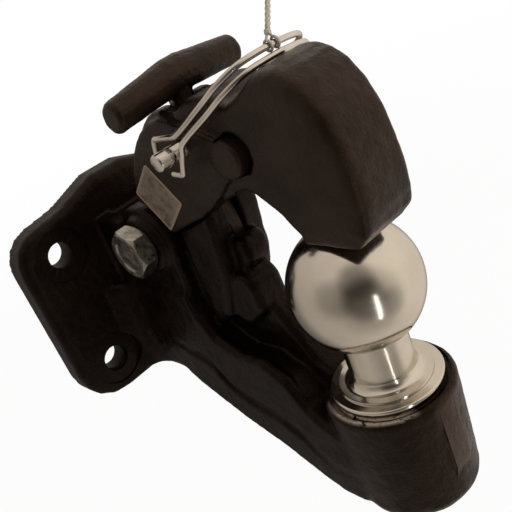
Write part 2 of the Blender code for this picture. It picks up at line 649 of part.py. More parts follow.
def lock_handle():
    """The T-handle: a cross bar of two cones that droop from its middle, and its forked stem."""
    bm = bmesh.new()
    rings = []
    for along in HANDLE_RINGS:
        taper = (HANDLE_MID_RADIUS - HANDLE_END_RADIUS) * abs(along)
        droop = HANDLE_ARCH * abs(along)
        radius = HANDLE_MID_RADIUS - taper
        skew = HANDLE_SKEW * along
        centre = Vector((STEM_X + 1.5 * MM - skew, along * HANDLE_HALF_LENGTH - HANDLE_SHIFT,
                         HANDLE_Z - droop + skew))
        if abs(along) == 1:
            radius -= HANDLE_CHAMFER
        rings.append([bm.verts.new(centre + Vector((radius * math.cos(a), 0, radius * math.sin(a))))
                      for a in (2 * math.pi * j / SMALL_FACETS for j in range(SMALL_FACETS))])
    ring_faces(bm, rings, closed_ends=True)
    made = mesh_object("lock_handle", bm)
    stem = rod("stem", STEM_RADIUS, STEM_BOTTOM, HANDLE_Z, Vector((STEM_X, 0, 0)), UP,
               facets=SMALL_FACETS)
    fuse(made, stem)
    fork = LEVER_HALF_WIDTH + SEAT_GAP
    slot = prism("fork", in_mm([(95, 85), (125, 85), (125, 102.6), (95, 102.6)]), -fork, fork, "Y")
    pin = rod("roll_bore", ROLL_PIN_RADIUS + 0.15 * MM, -10 * MM, 10 * MM,
              Vector((STEM_X, 0, ROLL_PIN_Z)), SIDE)
    return cut(made, slot, pin)


def hexagon(name, across_flats, low, high, origin, axis, chamfer, turn=0.0):
    """A hexagonal prism whose ends are chamfered round."""
    made = turned(name, [(0, low), (across_flats / math.sqrt(3), low), (across_flats / math.sqrt(3), high),
                         (0, high)], origin, axis, facets=6, turn=math.radians(turn))
    flat = across_flats / 2
    corner = across_flats / math.sqrt(3)
    lens = turned("chamfer", [(0, low), (flat, low), (corner, low + chamfer), (corner + 1 * MM, low + chamfer),
                              (corner + 1 * MM, high - chamfer), (corner, high - chamfer), (flat, high),
                              (0, high)], origin, axis, STEEL_FACETS)
    return combine(made, lens, "INTERSECT")


def pivot_bolt():
    base = EAR_OUTER + SEAT_HEIGHT + SEAT_GAP
    end = base + WASHER_THICKNESS + SEAT_GAP + NUT_HEIGHT + BOLT_THREAD_END
    made = hexagon("pivot_bolt", BOLT_ACROSS_FLATS, base, base + BOLT_HEAD_HEIGHT, PIVOT, -SIDE,
                   1.6 * MM, BOLT_HEAD_TURN)
    shank = rod("shank", BOLT_RADIUS, -base - 1 * MM, end, PIVOT, SIDE, chamfer=1 * MM)
    return fuse(made, shank)


def pivot_washer():
    low = EAR_OUTER + SEAT_HEIGHT + SEAT_GAP
    return turned("pivot_washer", [(BOLT_RADIUS + BORE_GAP, low), (WASHER_RADIUS, low),
                                   (WASHER_RADIUS, low + WASHER_THICKNESS),
                                   (BOLT_RADIUS + BORE_GAP, low + WASHER_THICKNESS)], PIVOT, SIDE)


def pivot_nut():
    low = EAR_OUTER + SEAT_HEIGHT + 2 * SEAT_GAP + WASHER_THICKNESS
    made = hexagon("pivot_nut", BOLT_ACROSS_FLATS, low, low + NUT_HEIGHT, PIVOT, SIDE, 1.4 * MM, 8)
    return cut(made, rod("thread", BOLT_RADIUS + BORE_GAP, low - 2 * MM, low + NUT_HEIGHT + 2 * MM, PIVOT, SIDE))


def pivot_sleeve():
    half = EAR_INNER - SEAT_GAP
    inner = BOLT_RADIUS + BORE_GAP
    return turned("pivot_sleeve", [(inner, -half), (SLEEVE_RADIUS, -half), (SLEEVE_RADIUS, half), (inner, half)],
                  PIVOT, SIDE)


def lever_pin():
    blind = CHEEK_HALF_WIDTH - 5 * MM
    return rod("lever_pin", LEVER_PIN_RADIUS, -blind + SEAT_GAP, CHEEK_HALF_WIDTH, HINGE, SIDE, 0.5 * MM)


def roll_pin():
    half = math.sqrt(STEM_RADIUS ** 2 - ROLL_PIN_RADIUS ** 2)
    return rod("handle_roll_pin", ROLL_PIN_RADIUS, -half, half, Vector((STEM_X, 0, ROLL_PIN_Z)), SIDE,
               0.3 * MM, facets=12)


def lever_spring():
    low = SPRING_SEAT + SEAT_GAP + SPRING_WIRE
    high = HEEL_BOTTOM - SEAT_GAP - SPRING_WIRE
    steps = 8 * SPRING_TURNS
    points = []
    for i in range(steps + 1):
        angle = 2 * math.pi * SPRING_TURNS * i / steps
        points.append(Vector((SPRING_X + SPRING_RADIUS * math.cos(angle), SPRING_RADIUS * math.sin(angle),
                              low + (high - low) * i / steps)))
    return wire("lever_spring", points, SPRING_WIRE)


def ball_profile(radius):
    """A full ball as (radius, height) points from bottom to top."""
    return [(0, -radius), *[(radius * math.cos(a), radius * math.sin(a))
                            for a in (math.radians(d) for d in range(-80, 81, 10))], (0, radius)]


def hitch_ball():
    """Ball, neck, stepped collar and shank, forged and turned in one piece."""
    def below(z):
        return z - BALL_Z
    start = -math.acos(NECK_RADIUS / BALL_RADIUS)
    sphere = [(BALL_RADIUS * math.cos(a), BALL_RADIUS * math.sin(a))
              for a in (start + (math.radians(84) - start) * i / 13 for i in range(14))]
    step_z = COLLAR_TOP + COLLAR_STEP
    fillet = 4.5 * MM
    neck = [(NECK_RADIUS + fillet * (1 - math.cos(a)), below(step_z + fillet * (1 - math.sin(a))))
            for a in (math.radians(d) for d in (80, 55, 30, 0))]
    under = COLLAR_TOP - COLLAR_THICKNESS
    end = BOSS_BOTTOM + 2 * MM
    profile = [(0, below(end)), (SHANK_RADIUS - 1 * MM, below(end)), (SHANK_RADIUS, below(end + 1 * MM)),
               (SHANK_RADIUS, below(under)), (COLLAR_RADIUS, below(under)),
               (COLLAR_RADIUS, below(COLLAR_TOP - 0.6 * MM)), (COLLAR_RADIUS - 0.6 * MM, below(COLLAR_TOP)),
               (COLLAR_STEP_RADIUS + 0.5 * MM, below(COLLAR_TOP)), (COLLAR_STEP_RADIUS, below(COLLAR_TOP + 0.4 * MM)),
               (COLLAR_STEP_RADIUS, below(step_z - 0.5 * MM)), (COLLAR_STEP_RADIUS - 0.5 * MM, below(step_z)),
               *neck, *sphere, (0, BALL_RADIUS)]
    return turned("hitch_ball", profile, BALL, UP, facets=32)


def ball_washer():
    top = BOSS_BOTTOM + COUNTERBORE_DEPTH - SEAT_GAP - BALL_Z
    low = top - BALL_WASHER_THICKNESS
    inner = SHANK_RADIUS + BORE_GAP
    return turned("ball_washer", [(inner, low), (BALL_WASHER_RADIUS, low), (BALL_WASHER_RADIUS, top), (inner, top)],
                  BALL, UP)


def ball_nut():
    top = BOSS_BOTTOM + COUNTERBORE_DEPTH - 2 * SEAT_GAP - BALL_WASHER_THICKNESS - BALL_Z
    low = top - BALL_NUT_HEIGHT
    made = hexagon("ball_nut", BALL_NUT_ACROSS_FLATS, low, top, BALL, UP, 2 * MM, 15)
    return cut(made, rod("thread", SHANK_RADIUS + BORE_GAP, low - 2 * MM, top + 2 * MM, BALL, UP,
                         facets=STEEL_FACETS))


def lock_pin():
    """The lock pin, with a thicker head that is cross-drilled for the bail."""
    profile = [(0, PIN_TIP), (PIN_RADIUS - 0.8 * MM, PIN_TIP), (PIN_RADIUS, PIN_TIP + 0.8 * MM),
               (PIN_RADIUS, PIN_HEAD_START), (PIN_HEAD_RADIUS, PIN_HEAD_START),
               (PIN_HEAD_RADIUS, PIN_HEAD_END - 1 * MM), (PIN_HEAD_RADIUS - 1 * MM, PIN_HEAD_END),
               (0, PIN_HEAD_END)]
    made = turned("lock_pin", profile, PIN, SIDE, SMALL_FACETS)
    cross = rod("cross_hole", WIRE_RADIUS + BORE_GAP, -10 * MM, 10 * MM, PIN + SIDE * BAIL_HINGE_Y,
                BOW_ACROSS, facets=12)
    return cut(made, cross)


def bail_point(across, out, y):
    """A point given in the bail's own directions about the pin's axis."""
    return PIN + BOW_ACROSS * (across * MM) + BOW_OUT * (out * MM) + SIDE * (y * MM)


def bail_guide():
    """Guide points (across, out, y) of one wire, from the loop's open end to the pin's head."""
    gap = (PIN_RADIUS + BAIL_OPENING + WIRE_RADIUS) / MM
    space = BAIL_SPACING / MM
    hinge = BAIL_HINGE_Y / MM
    head = (PIN_HEAD_RADIUS + WIRE_RADIUS) / MM + 1
    loop = [(gap, -6.6, -26), (8.6, -2.6, -26), (9.4, -0.6, -26), (8.4, 1.4, -26), (4.6, 8.5, -26)]
    bow = [(space, 14.4, -25.4), (space, 29.8, -19.6), (space, 42, -15.6), (space, 50, -7.2), CORD_TIE,
           (space, 51, 13), (space, 49.2, 22.5), (space, 45.5, 29.5), (space, 38, 32.6), (4.5, 25, 32)]
    eye = [(head, 12, 30), (head + 0.4, 4, 29.3), (head, 0.4, hinge), (head - 1.6, 0, hinge)]
    return loop + bow + eye


def wire_bail():
    """One wire: an open square loop round the pin's tip and two parallel wires over the latch."""
    half = bail_guide()
    first = [bail_point(*point) for point in half]
    second = [bail_point(-a, d, y) for a, d, y in reversed(half)]
    return wire("wire_bail", smooth_path(first + second, 3), WIRE_RADIUS)


def label():
    """A thin plain label on the near cheek."""
    across, along = LABEL_SIZE
    half = [(-across / 2, -along / 2), (across / 2, -along / 2), (across / 2, along / 2), (-across / 2, along / 2)]
    c, s = math.cos(LABEL_TURN), math.sin(LABEL_TURN)
    outline = [(LABEL_CENTRE[0] + u * c - v * s, LABEL_CENTRE[1] + u * s + v * c) for u, v in half]
    back = -CHEEK_HALF_WIDTH - 0.1 * MM
    return prism("label_sticker", outline, back - LABEL_THICKNESS, back, "Y")


def knot_centre():
    """Centre of the knot, and the wire's direction there."""
    half = bail_guide()
    i = half.index(CORD_TIE)
    along = (bail_point(*half[i + 1]) - bail_point(*half[i - 1])).normalized()
    across = (CORD_DIRECTION - along * CORD_DIRECTION.dot(along)).normalized()
    return bail_point(*CORD_TIE) + across * (LOOP_RADIUS + KNOT_RADIUS - STRAND_RADIUS), along


def tie_cord():
    start = knot_centre()[0] + CORD_DIRECTION * (KNOT_RADIUS + SEAT_GAP)
    steps = 10
    points = [start + CORD_DIRECTION * (CORD_LENGTH * i / steps) for i in range(steps + 1)]
    return wire("tie_cord", points, CORD_RADIUS)


def round_knot(name, centre):
    profile = [(0, -KNOT_RADIUS), *[(KNOT_RADIUS * math.cos(a), KNOT_RADIUS * math.sin(a))
                                    for a in (math.radians(d) for d in range(-60, 61, 30))], (0, KNOT_RADIUS)]
    return turned(name, profile, centre, CORD_DIRECTION, 12)


def cord_knot():
    """The loop of the cord round the bail's upper wire, with its knot."""
    centre, along = knot_centre()
    strand = [(LOOP_RADIUS + STRAND_RADIUS * math.cos(a), STRAND_RADIUS * math.sin(a))
              for a in (2 * math.pi * i / 8 for i in range(8))]
    loop = turned("loop", strand, bail_point(*CORD_TIE), along, 18)
    return fuse(round_knot("cord_knot", centre), loop)


def cord_end_knot():
    away = 2 * KNOT_RADIUS + 2 * SEAT_GAP + CORD_LENGTH
    return round_knot("cord_end_knot", knot_centre()[0] + CORD_DIRECTION * away)


def pivot_empty(name, place, parent=None):
    empty = bpy.data.objects.new(name, None)
    empty.location = place
    bpy.context.scene.collection.objects.link(empty)
    if parent:
        empty.parent = parent
        empty.location = place - parent.matrix_world.translation
    bpy.context.view_layer.update()
    return empty


def carry(piece, empty):
    """Parent a piece to an empty, with the piece's origin at the empty for a mesh."""
    place = empty.matrix_world.translation
    piece.parent = empty
    if piece.type == "MESH":
        piece.data.transform(Matrix.Translation(-place))
    else:
        piece.location = -place


def finish(piece, look):
    """Give a piece its material, and smooth its round faces."""
    piece.data.materials.clear()
    piece.data.materials.append(look)
    if piece.type == "MESH":
        piece.data.shade_smooth()
        piece.data.set_sharp_from_angle(angle=math.radians(35))


def build():
    clear_scene()
    paint = material("black_paint", (0.02, 0.018, 0.017), 0.3, 0.0)
    polished = material("polished_steel", (0.75, 0.75, 0.74), 0.2, 1.0)
    zinc = material("zinc_plate", (0.62, 0.6, 0.55), 0.35, 1.0)
    steel = material("plain_steel", (0.4, 0.39, 0.37), 0.45, 1.0)
    paper = material("label_paper", (0.75, 0.7, 0.6), 0.6, 0.0)
    string = material("cord_fibre", (0.8, 0.74, 0.62), 0.85, 0.0)

    latch_axis = pivot_empty("latch_axis", PIVOT)
    lever_axis = pivot_empty("lever_axis", HINGE, latch_axis)
    pin_axis = pivot_empty("pin_axis", PIN, latch_axis)
    bail_axis = pivot_empty("bail_axis", PIN + SIDE * BAIL_HINGE_Y, pin_axis)

    fixed = [(hitch_body(), paint), (pivot_bolt(), zinc), (pivot_washer(), zinc), (pivot_nut(), zinc),
             (pivot_sleeve(), steel), (hitch_ball(), polished), (ball_washer(), zinc), (ball_nut(), zinc)]
    moving = [
        (latch(), paint, latch_axis), (label(), paper, latch_axis), (lever_pin(), steel, latch_axis),
        (lever_spring(), steel, latch_axis),
        (lock_lever(), steel, lever_axis), (lock_handle(), paint, lever_axis), (roll_pin(), steel, lever_axis),
        (lock_pin(), zinc, pin_axis), (wire_bail(), zinc, bail_axis),
        (cord_knot(), string, bail_axis), (tie_cord(), string, bail_axis),
        (cord_end_knot(), string, bail_axis),
    ]
    for piece, look in fixed:
        finish(piece, look)
    for piece, look, axis in moving:
        finish(piece, look)
        carry(piece, axis)


build()
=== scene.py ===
"""Looks of the combination hitch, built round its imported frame.

Lengths are in metres in the row frame, and MM turns millimetres into them.
"""

import math

import bmesh
import bpy
import numpy as np
from mathutils import Matrix, Vector, noise

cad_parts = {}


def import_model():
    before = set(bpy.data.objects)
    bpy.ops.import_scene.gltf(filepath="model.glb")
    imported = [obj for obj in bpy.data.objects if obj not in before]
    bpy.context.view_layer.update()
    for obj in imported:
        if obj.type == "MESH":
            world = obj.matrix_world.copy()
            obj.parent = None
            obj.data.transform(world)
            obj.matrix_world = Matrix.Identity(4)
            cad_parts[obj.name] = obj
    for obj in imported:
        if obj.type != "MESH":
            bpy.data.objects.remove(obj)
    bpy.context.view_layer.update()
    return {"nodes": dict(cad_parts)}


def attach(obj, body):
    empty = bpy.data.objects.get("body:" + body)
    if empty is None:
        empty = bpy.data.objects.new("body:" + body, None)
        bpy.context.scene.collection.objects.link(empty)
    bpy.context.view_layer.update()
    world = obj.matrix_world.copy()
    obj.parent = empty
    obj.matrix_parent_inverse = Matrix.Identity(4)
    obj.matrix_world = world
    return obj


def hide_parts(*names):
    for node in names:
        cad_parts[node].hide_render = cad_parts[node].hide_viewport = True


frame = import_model()

MM = 0.001
UP = Vector((0, 0, 1))
SIDE = Vector((0, 1, 0))
FRONT = Vector((1, 0, 0))

PIVOT = Vector((62.3, 0, 31.3)) * MM
HINGE = Vector((102, 0, 66)) * MM
PIN = Vector((123, 0, 82)) * MM
BALL = Vector((176.2, 0, 9.8)) * MM
BOSS_FOOT = Vector((BALL.x, 0, 0))
PAD = Vector((148.3, 0, 76)) * MM
LABEL_CENTRE = Vector((87.8, -19, 57.2)) * MM
LABEL_TURN = math.radians(-51)
LABEL_ACROSS = 26 * MM
LABEL_ALONG = 25 * MM

PLATE_THICKNESS = 17 * MM
HOLE_PLACES = [(y * 47.625 * MM, z * 34.925 * MM) for y in (-1, 1) for z in (-1, 1)]
HOLE_RADIUS = 7.15 * MM
HOLE_MOUTH = 7.6 * MM
HOLE_BACK = 8.4 * MM            # the wider mouth in the plate's back
SPOT_RADIUS = 15 * MM
EAR_INNER = 11.3 * MM
EAR_BORE = 8.3 * MM
SEAT_RADIUS = 21 * MM
SEAT_FACE = 24.6 * MM
TONGUE_ROOM = 21.7 * MM
LATCH_BORE = 11.3 * MM          # holds the sleeve of the pivot bolt
EAR_ROOM = 22.4 * MM
PIN_BORE = 4.3 * MM             # for the lock pin and for the lever's hinge pin
PIN_PLUG = 4.6 * MM
BALL_RADIUS = 29.37 * MM
BALL_ROOM = 29.77 * MM          # the hollow of the latch over the ball
NECK_RADIUS = 15 * MM
BALL_SHANK = 12.7 * MM
SHANK_BORE = 13 * MM
BOSS_TOP = -41.5 * MM
BOSS_BOTTOM = -100 * MM
SPOTFACE_FLOOR = -43.5 * MM
SPOTFACE_RADIUS = 28.2 * MM
COUNTERBORE_TOP = -70 * MM
COUNTERBORE_RADIUS = 23.4 * MM
PAD_RADIUS = 8.6 * MM
HOLLOW_RADIUS = 9.4 * MM
HOLLOW_SHIFT = Vector((2.6, 0, 1.04)) * MM
BOLT_FLATS = 24 * MM
BOLT_RADIUS = 8 * MM
BOLT_SEAT = 24.9 * MM           # how far the head and the washer stand off the middle plane
NUT_SEAT = 29.2 * MM
LOCK_PIN_RADIUS = 4 * MM
LOCK_PIN_HEAD = 5.5 * MM
BOW_ANGLE = math.radians(32)
BOW_OUT = Vector((math.cos(BOW_ANGLE), 0, math.sin(BOW_ANGLE)))
BOW_ACROSS = Vector((-math.sin(BOW_ANGLE), 0, math.cos(BOW_ANGLE)))
WIRE_RADIUS = 1.3 * MM
CORD_DIRECTION = Vector((-0.097, 0.527, 0.844)).normalized()
CORD_LENGTH = 46 * MM
CORD_RADIUS = 1.15 * MM
TWINE_RADIUS = 0.6 * MM         # the strand that is tied round the wire


def make_camera():
    """The photograph's camera, solved from the ball, the plate's holes and the pivot bolt."""
    data = bpy.data.cameras.new("camera")
    data.lens = 49.83
    data.sensor_width = 36
    data.clip_start = 0.01
    made = bpy.data.objects.new("camera", data)
    right = Vector((0.65720, 0.67114, -0.34302))
    top = Vector((-0.09748, 0.52697, 0.84428))
    back = Vector((0.74739, -0.52142, 0.41174))
    turn = Matrix((right, top, back)).transposed().to_4x4()
    made.matrix_world = Matrix.Translation(Vector((369.13, -176.10, 155.54)) * MM) @ turn
    bpy.context.scene.collection.objects.link(made)
    bpy.context.scene.camera = made


make_camera()


class Nodes:
    """Short calls for the nodes of one shader tree."""

    def __init__(self, tree):
        self.tree = tree

    def node(self, kind, **values):
        made = self.tree.nodes.new("ShaderNode" + kind)
        for key, value in values.items():
            setattr(made, key, value)
        return made

    def join(self, source, target):
        self.tree.links.new(source, target)

    def fill(self, socket, value):
        """Set a socket to a value, or link another node's output to it."""
        if hasattr(value, "links"):
            self.join(value, socket)
        else:
            socket.default_value = value

    def range(self, value, low, high, to_low, to_high, kind="LINEAR"):
        made = self.node("MapRange", interpolation_type=kind)
        self.fill(made.inputs["Value"], value)
        made.inputs["From Min"].default_value = low
        made.inputs["From Max"].default_value = high
        made.inputs["To Min"].default_value = to_low
        made.inputs["To Max"].default_value = to_high
        return made.outputs["Result"]

    def blend(self, amount, one, two):
        made = self.node("Mix", data_type="RGBA")
        self.fill(made.inputs["Factor"], amount)
        self.fill(made.inputs["A"], one)
        self.fill(made.inputs["B"], two)
        return made.outputs["Result"]

    def math(self, operation, one, two=0.0):
        made = self.node("Math", operation=operation)
        self.fill(made.inputs[0], one)
        self.fill(made.inputs[1], two)
        return made.outputs[0]

    def vector(self, operation, one, two=None, output=0):
        made = self.node("VectorMath", operation=operation)
        self.join(one, made.inputs[0])
        if two is not None:
            made.inputs[1].default_value = two
        return made.outputs[output]

    def dot(self, one, two):
        return self.vector("DOT_PRODUCT", one, two, "Value")

    def mixed_shader(self, share, one, two):
        made = self.node("MixShader")
        self.join(share, made.inputs["Fac"])
        self.join(one, made.inputs[1])
        self.join(two, made.inputs[2])
        return made.outputs[0]


class Shader(Nodes):
    """A material with short calls for its textures and its main shader."""

    def __init__(self, name):
        self.material = bpy.data.materials.new(name)
        self.material.use_nodes = True
        super().__init__(self.material.node_tree)
        self.main = self.tree.nodes["Principled BSDF"]
        self.place = self.node("TexCoord").outputs["Object"]

    def stretched(self, scale):
        made = self.node("Mapping")
        made.inputs["Scale"].default_value = scale
        self.join(self.place, made.inputs["Vector"])
        return made.outputs["Vector"]

    def noise(self, per_metre, detail=3.0, rough=0.55, where=None):
        made = self.node("TexNoise")
        self.join(where or self.place, made.inputs["Vector"])
        made.inputs["Scale"].default_value = per_metre
        made.inputs["Detail"].default_value = detail
        made.inputs["Roughness"].default_value = rough
        return made.outputs["Fac"]

    def bump(self, height, strength, distance, below=None):
        made = self.node("Bump")
        made.inputs["Strength"].default_value = strength
        made.inputs["Distance"].default_value = distance
        self.join(height, made.inputs["Height"])
        if below:
            self.join(below, made.inputs["Normal"])
        return made.outputs["Normal"]

    def surface(self, **values):
        for key, value in values.items():
            self.fill(self.main.inputs[key.replace("_", " ")], value)
        return self.material


def colour(red, green, blue):
    return (red, green, blue, 1.0)


def black_paint(name, dark, light, mirror, drawn=False):
    """Satin black paint over a rough forging, lighter and browner on its sharp edges."""
    s = Shader(name)
    tint = s.blend(s.range(s.noise(45, 4), 0.36, 0.68, 0, 1), dark, light)
    # Sharp edges, found by pointiness, are tinted lighter brown.
    sharp_edge_tint = s.range(s.node("NewGeometry").outputs["Pointiness"], 0.54, 0.70, 0, 0.22)
    tint = s.blend(sharp_edge_tint, tint, colour(0.040, 0.026, 0.019))
    gloss = s.range(s.noise(160, 3), 0.35, 0.7, 0.20, 0.34)
    height = s.noise(210, 4, 0.6)
    metal = 0.0
    # On the body, boss_paint adds the drawn skin, painted light on the boss, a painted highlight on its
    # land and bare metal on the rim.
    if drawn:
        tint, height, metal = boss_paint(s, tint, height)
    scale = s.bump(height, 0.4, 0.5 * MM)
    peel = s.bump(s.noise(720, 4, 0.65), 0.75, 0.35 * MM, scale)
    s.main.inputs["Specular IOR Level"].default_value = mirror
    s.main.inputs["Specular Tint"].default_value = colour(1.0, 0.80, 0.68)
    return s.surface(Base_Color=tint, Metallic=metal, Roughness=gloss, Normal=peel)


def boss_paint(s, tint, height):
    """The paint on the boss: skin drawn downward, painted light over the boss and a painted highlight on
    its land, and bare metal on part of the rim.
    """
    parts = s.node("SeparateXYZ")
    s.join(s.place, parts.inputs[0])
    x, y, z = parts.outputs
    on_boss = s.math("MULTIPLY", s.range(x, 0.140, 0.152, 0, 1), s.range(z, -0.046, -0.036, 1, 0))
    skin = s.math("MULTIPLY", s.noise(1, 5, 0.65, s.stretched((330, 330, 80))), 2.2)
    mixed = s.node("Mix", data_type="FLOAT")
    for socket, value in (("Factor", on_boss), ("A", height), ("B", skin)):
        s.fill(mixed.inputs[socket], value)
    # Painted light: the boss is tinted lighter brown, standing in for the stronger light it gets.
    tint = s.blend(s.math("MULTIPLY", on_boss, 0.6), tint, colour(0.0120, 0.0066, 0.0040))
    # Painted highlight: the flat land is tinted paler, and its far chamfer most, as light catches these
    # faces.
    land = s.math("MULTIPLY", s.range(x, 0.2052, 0.2060, 0, 1), s.range(y, 0.0042, 0.0048, 0.75, 1))
    tint = s.blend(s.math("MULTIPLY", on_boss, land), tint, colour(0.040, 0.025, 0.017))
    across = s.math("SUBTRACT", x, BALL.x)
    squares = s.math("ADD", s.math("MULTIPLY", across, across), s.math("MULTIPLY", y, y))
    reach = s.math("SQRT", squares)
    toward = s.math("ADD", s.math("MULTIPLY", across, 0.23), s.math("MULTIPLY", y, -0.97))
    sector = s.range(s.math("DIVIDE", toward, reach), 0.62, 0.86, 0, 1)
    rim = s.math("MULTIPLY", s.range(reach, 0.0300, 0.0288, 0, 1), s.range(z, -0.0450, -0.0436, 0, 1))
    chips = s.range(s.noise(190, 4, 0.7), 0.40, 0.47, 0, 1)
    metal = s.math("MULTIPLY", s.math("MULTIPLY", rim, sector), chips)
    return s.blend(metal, tint, colour(0.42, 0.38, 0.32)), mixed.outputs["Result"], metal


def polished_steel():
    """Satin chrome with faint marks of turning."""
    s = Shader("polished_steel")
    rings = s.noise(1, 2, 0.5, s.stretched((12, 12, 2600)))
    cloud = s.noise(60, 3)
    rough = s.math("ADD", s.range(cloud, 0.35, 0.7, 0.13, 0.20), s.range(rings, 0.3, 0.7, -0.02, 0.03))
    tint = s.blend(s.range(cloud, 0.35, 0.7, 0, 1), colour(0.60, 0.567, 0.494), colour(0.68, 0.648, 0.575))
    return s.surface(Base_Color=tint, Metallic=1.0, Roughness=rough, Normal=s.bump(rings, 0.05, 0.05 * MM))


def zinc_plate():
    """Zinc plate with a yellow cast and dull spots."""
    s = Shader("zinc_plate")
    cloud = s.noise(190, 4, 0.6)
    tint = s.blend(s.range(cloud, 0.35, 0.68, 0, 1), colour(0.17, 0.162, 0.138), colour(0.42, 0.41, 0.356))
    rough = s.range(s.noise(420, 3), 0.3, 0.7, 0.24, 0.48)
    return s.surface(Base_Color=tint, Metallic=1.0, Roughness=rough,
                     Normal=s.bump(s.noise(1500, 2), 0.12, 0.08 * MM))


def wire_steel():
    """Bright drawn wire with faint dull lengths."""
    s = Shader("wire_steel")
    cloud = s.noise(70, 3)
    tint = s.blend(s.range(cloud, 0.38, 0.68, 0, 1), colour(0.66, 0.64, 0.58), colour(0.50, 0.475, 0.425))
    rough = s.range(s.noise(150, 2), 0.35, 0.65, 0.14, 0.24)
    return s.surface(Base_Color=tint, Metallic=1.0, Roughness=rough,
                     Normal=s.bump(s.noise(700, 2), 0.08, 0.05 * MM))


def plain_steel():
    """Machined steel with a thin film of oil."""
    s = Shader("plain_steel")
    cloud = s.noise(120, 4)
    tint = s.blend(s.range(cloud, 0.4, 0.66, 0, 1), colour(0.26, 0.25, 0.235), colour(0.45, 0.43, 0.40))
    rough = s.range(s.noise(300, 3), 0.3, 0.7, 0.33, 0.52)
    return s.surface(Base_Color=tint, Metallic=1.0, Roughness=rough,
                     Normal=s.bump(s.noise(1, 2, 0.5, s.stretched((2200, 260, 260))), 0.15, 0.06 * MM))


def label_paper():
    """Satin film, pale round its rim and soiled in its middle."""
    s = Shader("label_paper")
    c, sine = math.cos(LABEL_TURN), math.sin(LABEL_TURN)
    from_centre = s.vector("SUBTRACT", s.place, LABEL_CENTRE)
    reach = []
    for direction, half in (((c, 0, sine), LABEL_ACROSS / 2), ((-sine, 0, c), LABEL_ALONG / 2)):
        reach.append(s.math("DIVIDE", s.math("ABSOLUTE", s.dot(from_centre, direction)), half))
    edge = s.range(s.math("MAXIMUM", *reach), 0.86, 0.93, 0, 1)
    soil = s.range(s.noise(230, 5, 0.62), 0.46, 0.62, 0, 1)
    inner = s.blend(soil, colour(0.190, 0.140, 0.097), colour(0.080, 0.057, 0.039))
    tint = s.blend(edge, inner, colour(0.27, 0.207, 0.152))
    return s.surface(Base_Color=tint, Roughness=0.42, Normal=s.bump(s.noise(160, 2), 0.2, 0.15 * MM))


def cord_fibre():
    s = Shader("cord_fibre")
    fibres = s.noise(1600, 3, 0.6)
    tint = s.blend(s.range(fibres, 0.35, 0.7, 0, 1), colour(0.42, 0.36, 0.28), colour(0.72, 0.66, 0.55))
    return s.surface(Base_Color=tint, Roughness=0.85, Normal=s.bump(fibres, 0.5, 0.1 * MM))


# Painted shade: the body has the same black paint as the latch but a darker base, standing in for the
# dimmer light on it; boss_paint lightens its boss again as painted light.
BODY_PAINT_PAINTED_LIGHT = black_paint("body_paint_painted_light", colour(0.0034, 0.0018, 0.0012), colour(0.0080, 0.0044, 0.0028),
                         mirror=0.12, drawn=True)
LATCH_PAINT = black_paint("latch_paint", colour(0.0085, 0.0048, 0.0031), colour(0.0185, 0.0108, 0.0070),
                          mirror=0.22)
CHROME = polished_steel()
ZINC = zinc_plate()
WIRE = wire_steel()
STEEL = plain_steel()
LABEL = label_paper()
CORD = cord_fibre()


def mesh_piece(name, bm):
    bmesh.ops.recalc_face_normals(bm, faces=bm.faces)
    mesh = bpy.data.meshes.new(name)
    bm.to_mesh(mesh)
    bm.free()
    made = bpy.data.objects.new(name, mesh)
    bpy.context.scene.collection.objects.link(made)
    return made


def dress(piece, look, body, nodes=(), angle=35):
    """Finish a new piece: its material, smooth shading, its body and the nodes it stands for."""
    piece.data.materials.clear()
    piece.data.materials.append(look)
    if piece.type == "MESH":
        piece.data.shade_smooth()
        piece.data.set_sharp_from_angle(angle=math.radians(angle))
    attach(piece, body)
    if nodes:
        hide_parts(*nodes)
    return piece


def band(bm, one, two):
    """Faces between two rings of points."""
    count = len(one)
    for i in range(count):
        bm.faces.new((one[i], one[(i + 1) % count], two[(i + 1) % count], two[i]))


def closed_skin(name, bm, rings):
    """A solid with a skin over its rings and a face on each end."""
    for one, two in zip(rings, rings[1:]):
        band(bm, one, two)
    bm.faces.new(rings[0])
    bm.faces.new(rings[-1])
    return mesh_piece(name, bm)


def turned(name, profile, origin, axis, facets=96):
    """Turn (radius, height) points about an axis: a solid if they start and end on it, else a ring."""
    bm = bmesh.new()
    turn = axis.to_track_quat("Z", "Y").to_matrix()
    solid = profile[0][0] == 0
    rings = []
    for radius, height in (profile[1:-1] if solid else profile):
        points = [Vector((radius * math.cos(a), radius * math.sin(a), height))
                  for a in (2 * math.pi * i / facets for i in range(facets))]
        rings.append([bm.verts.new(origin + turn @ point) for point in points])
    pairs = list(zip(rings, rings[1:])) + ([] if solid else [(rings[-1], rings[0])])
    for one, two in pairs:
        band(bm, one, two)
    if solid:
        for ring, height in ((rings[0], profile[0][1]), (rings[-1], profile[-1][1])):
            pole = bm.verts.new(origin + turn @ Vector((0, 0, height)))
            for i in range(facets):
                bm.faces.new((ring[i], ring[(i + 1) % facets], pole))
    return mesh_piece(name, bm)


def rod(name, radius, low, high, origin, axis, facets=64):
    return turned(name, [(0, low), (radius, low), (radius, high), (0, high)], origin, axis, facets)


def prism(name, outline, half_width):
    """Extrude an outline of (x, z) points in millimetres to both sides of the XZ plane."""
    bm = bmesh.new()
    near = [bm.verts.new((x * MM, -half_width, z * MM)) for x, z in outline]
    far = [bm.verts.new((x * MM, half_width, z * MM)) for x, z in outline]
    return closed_skin(name, bm, [near, far])


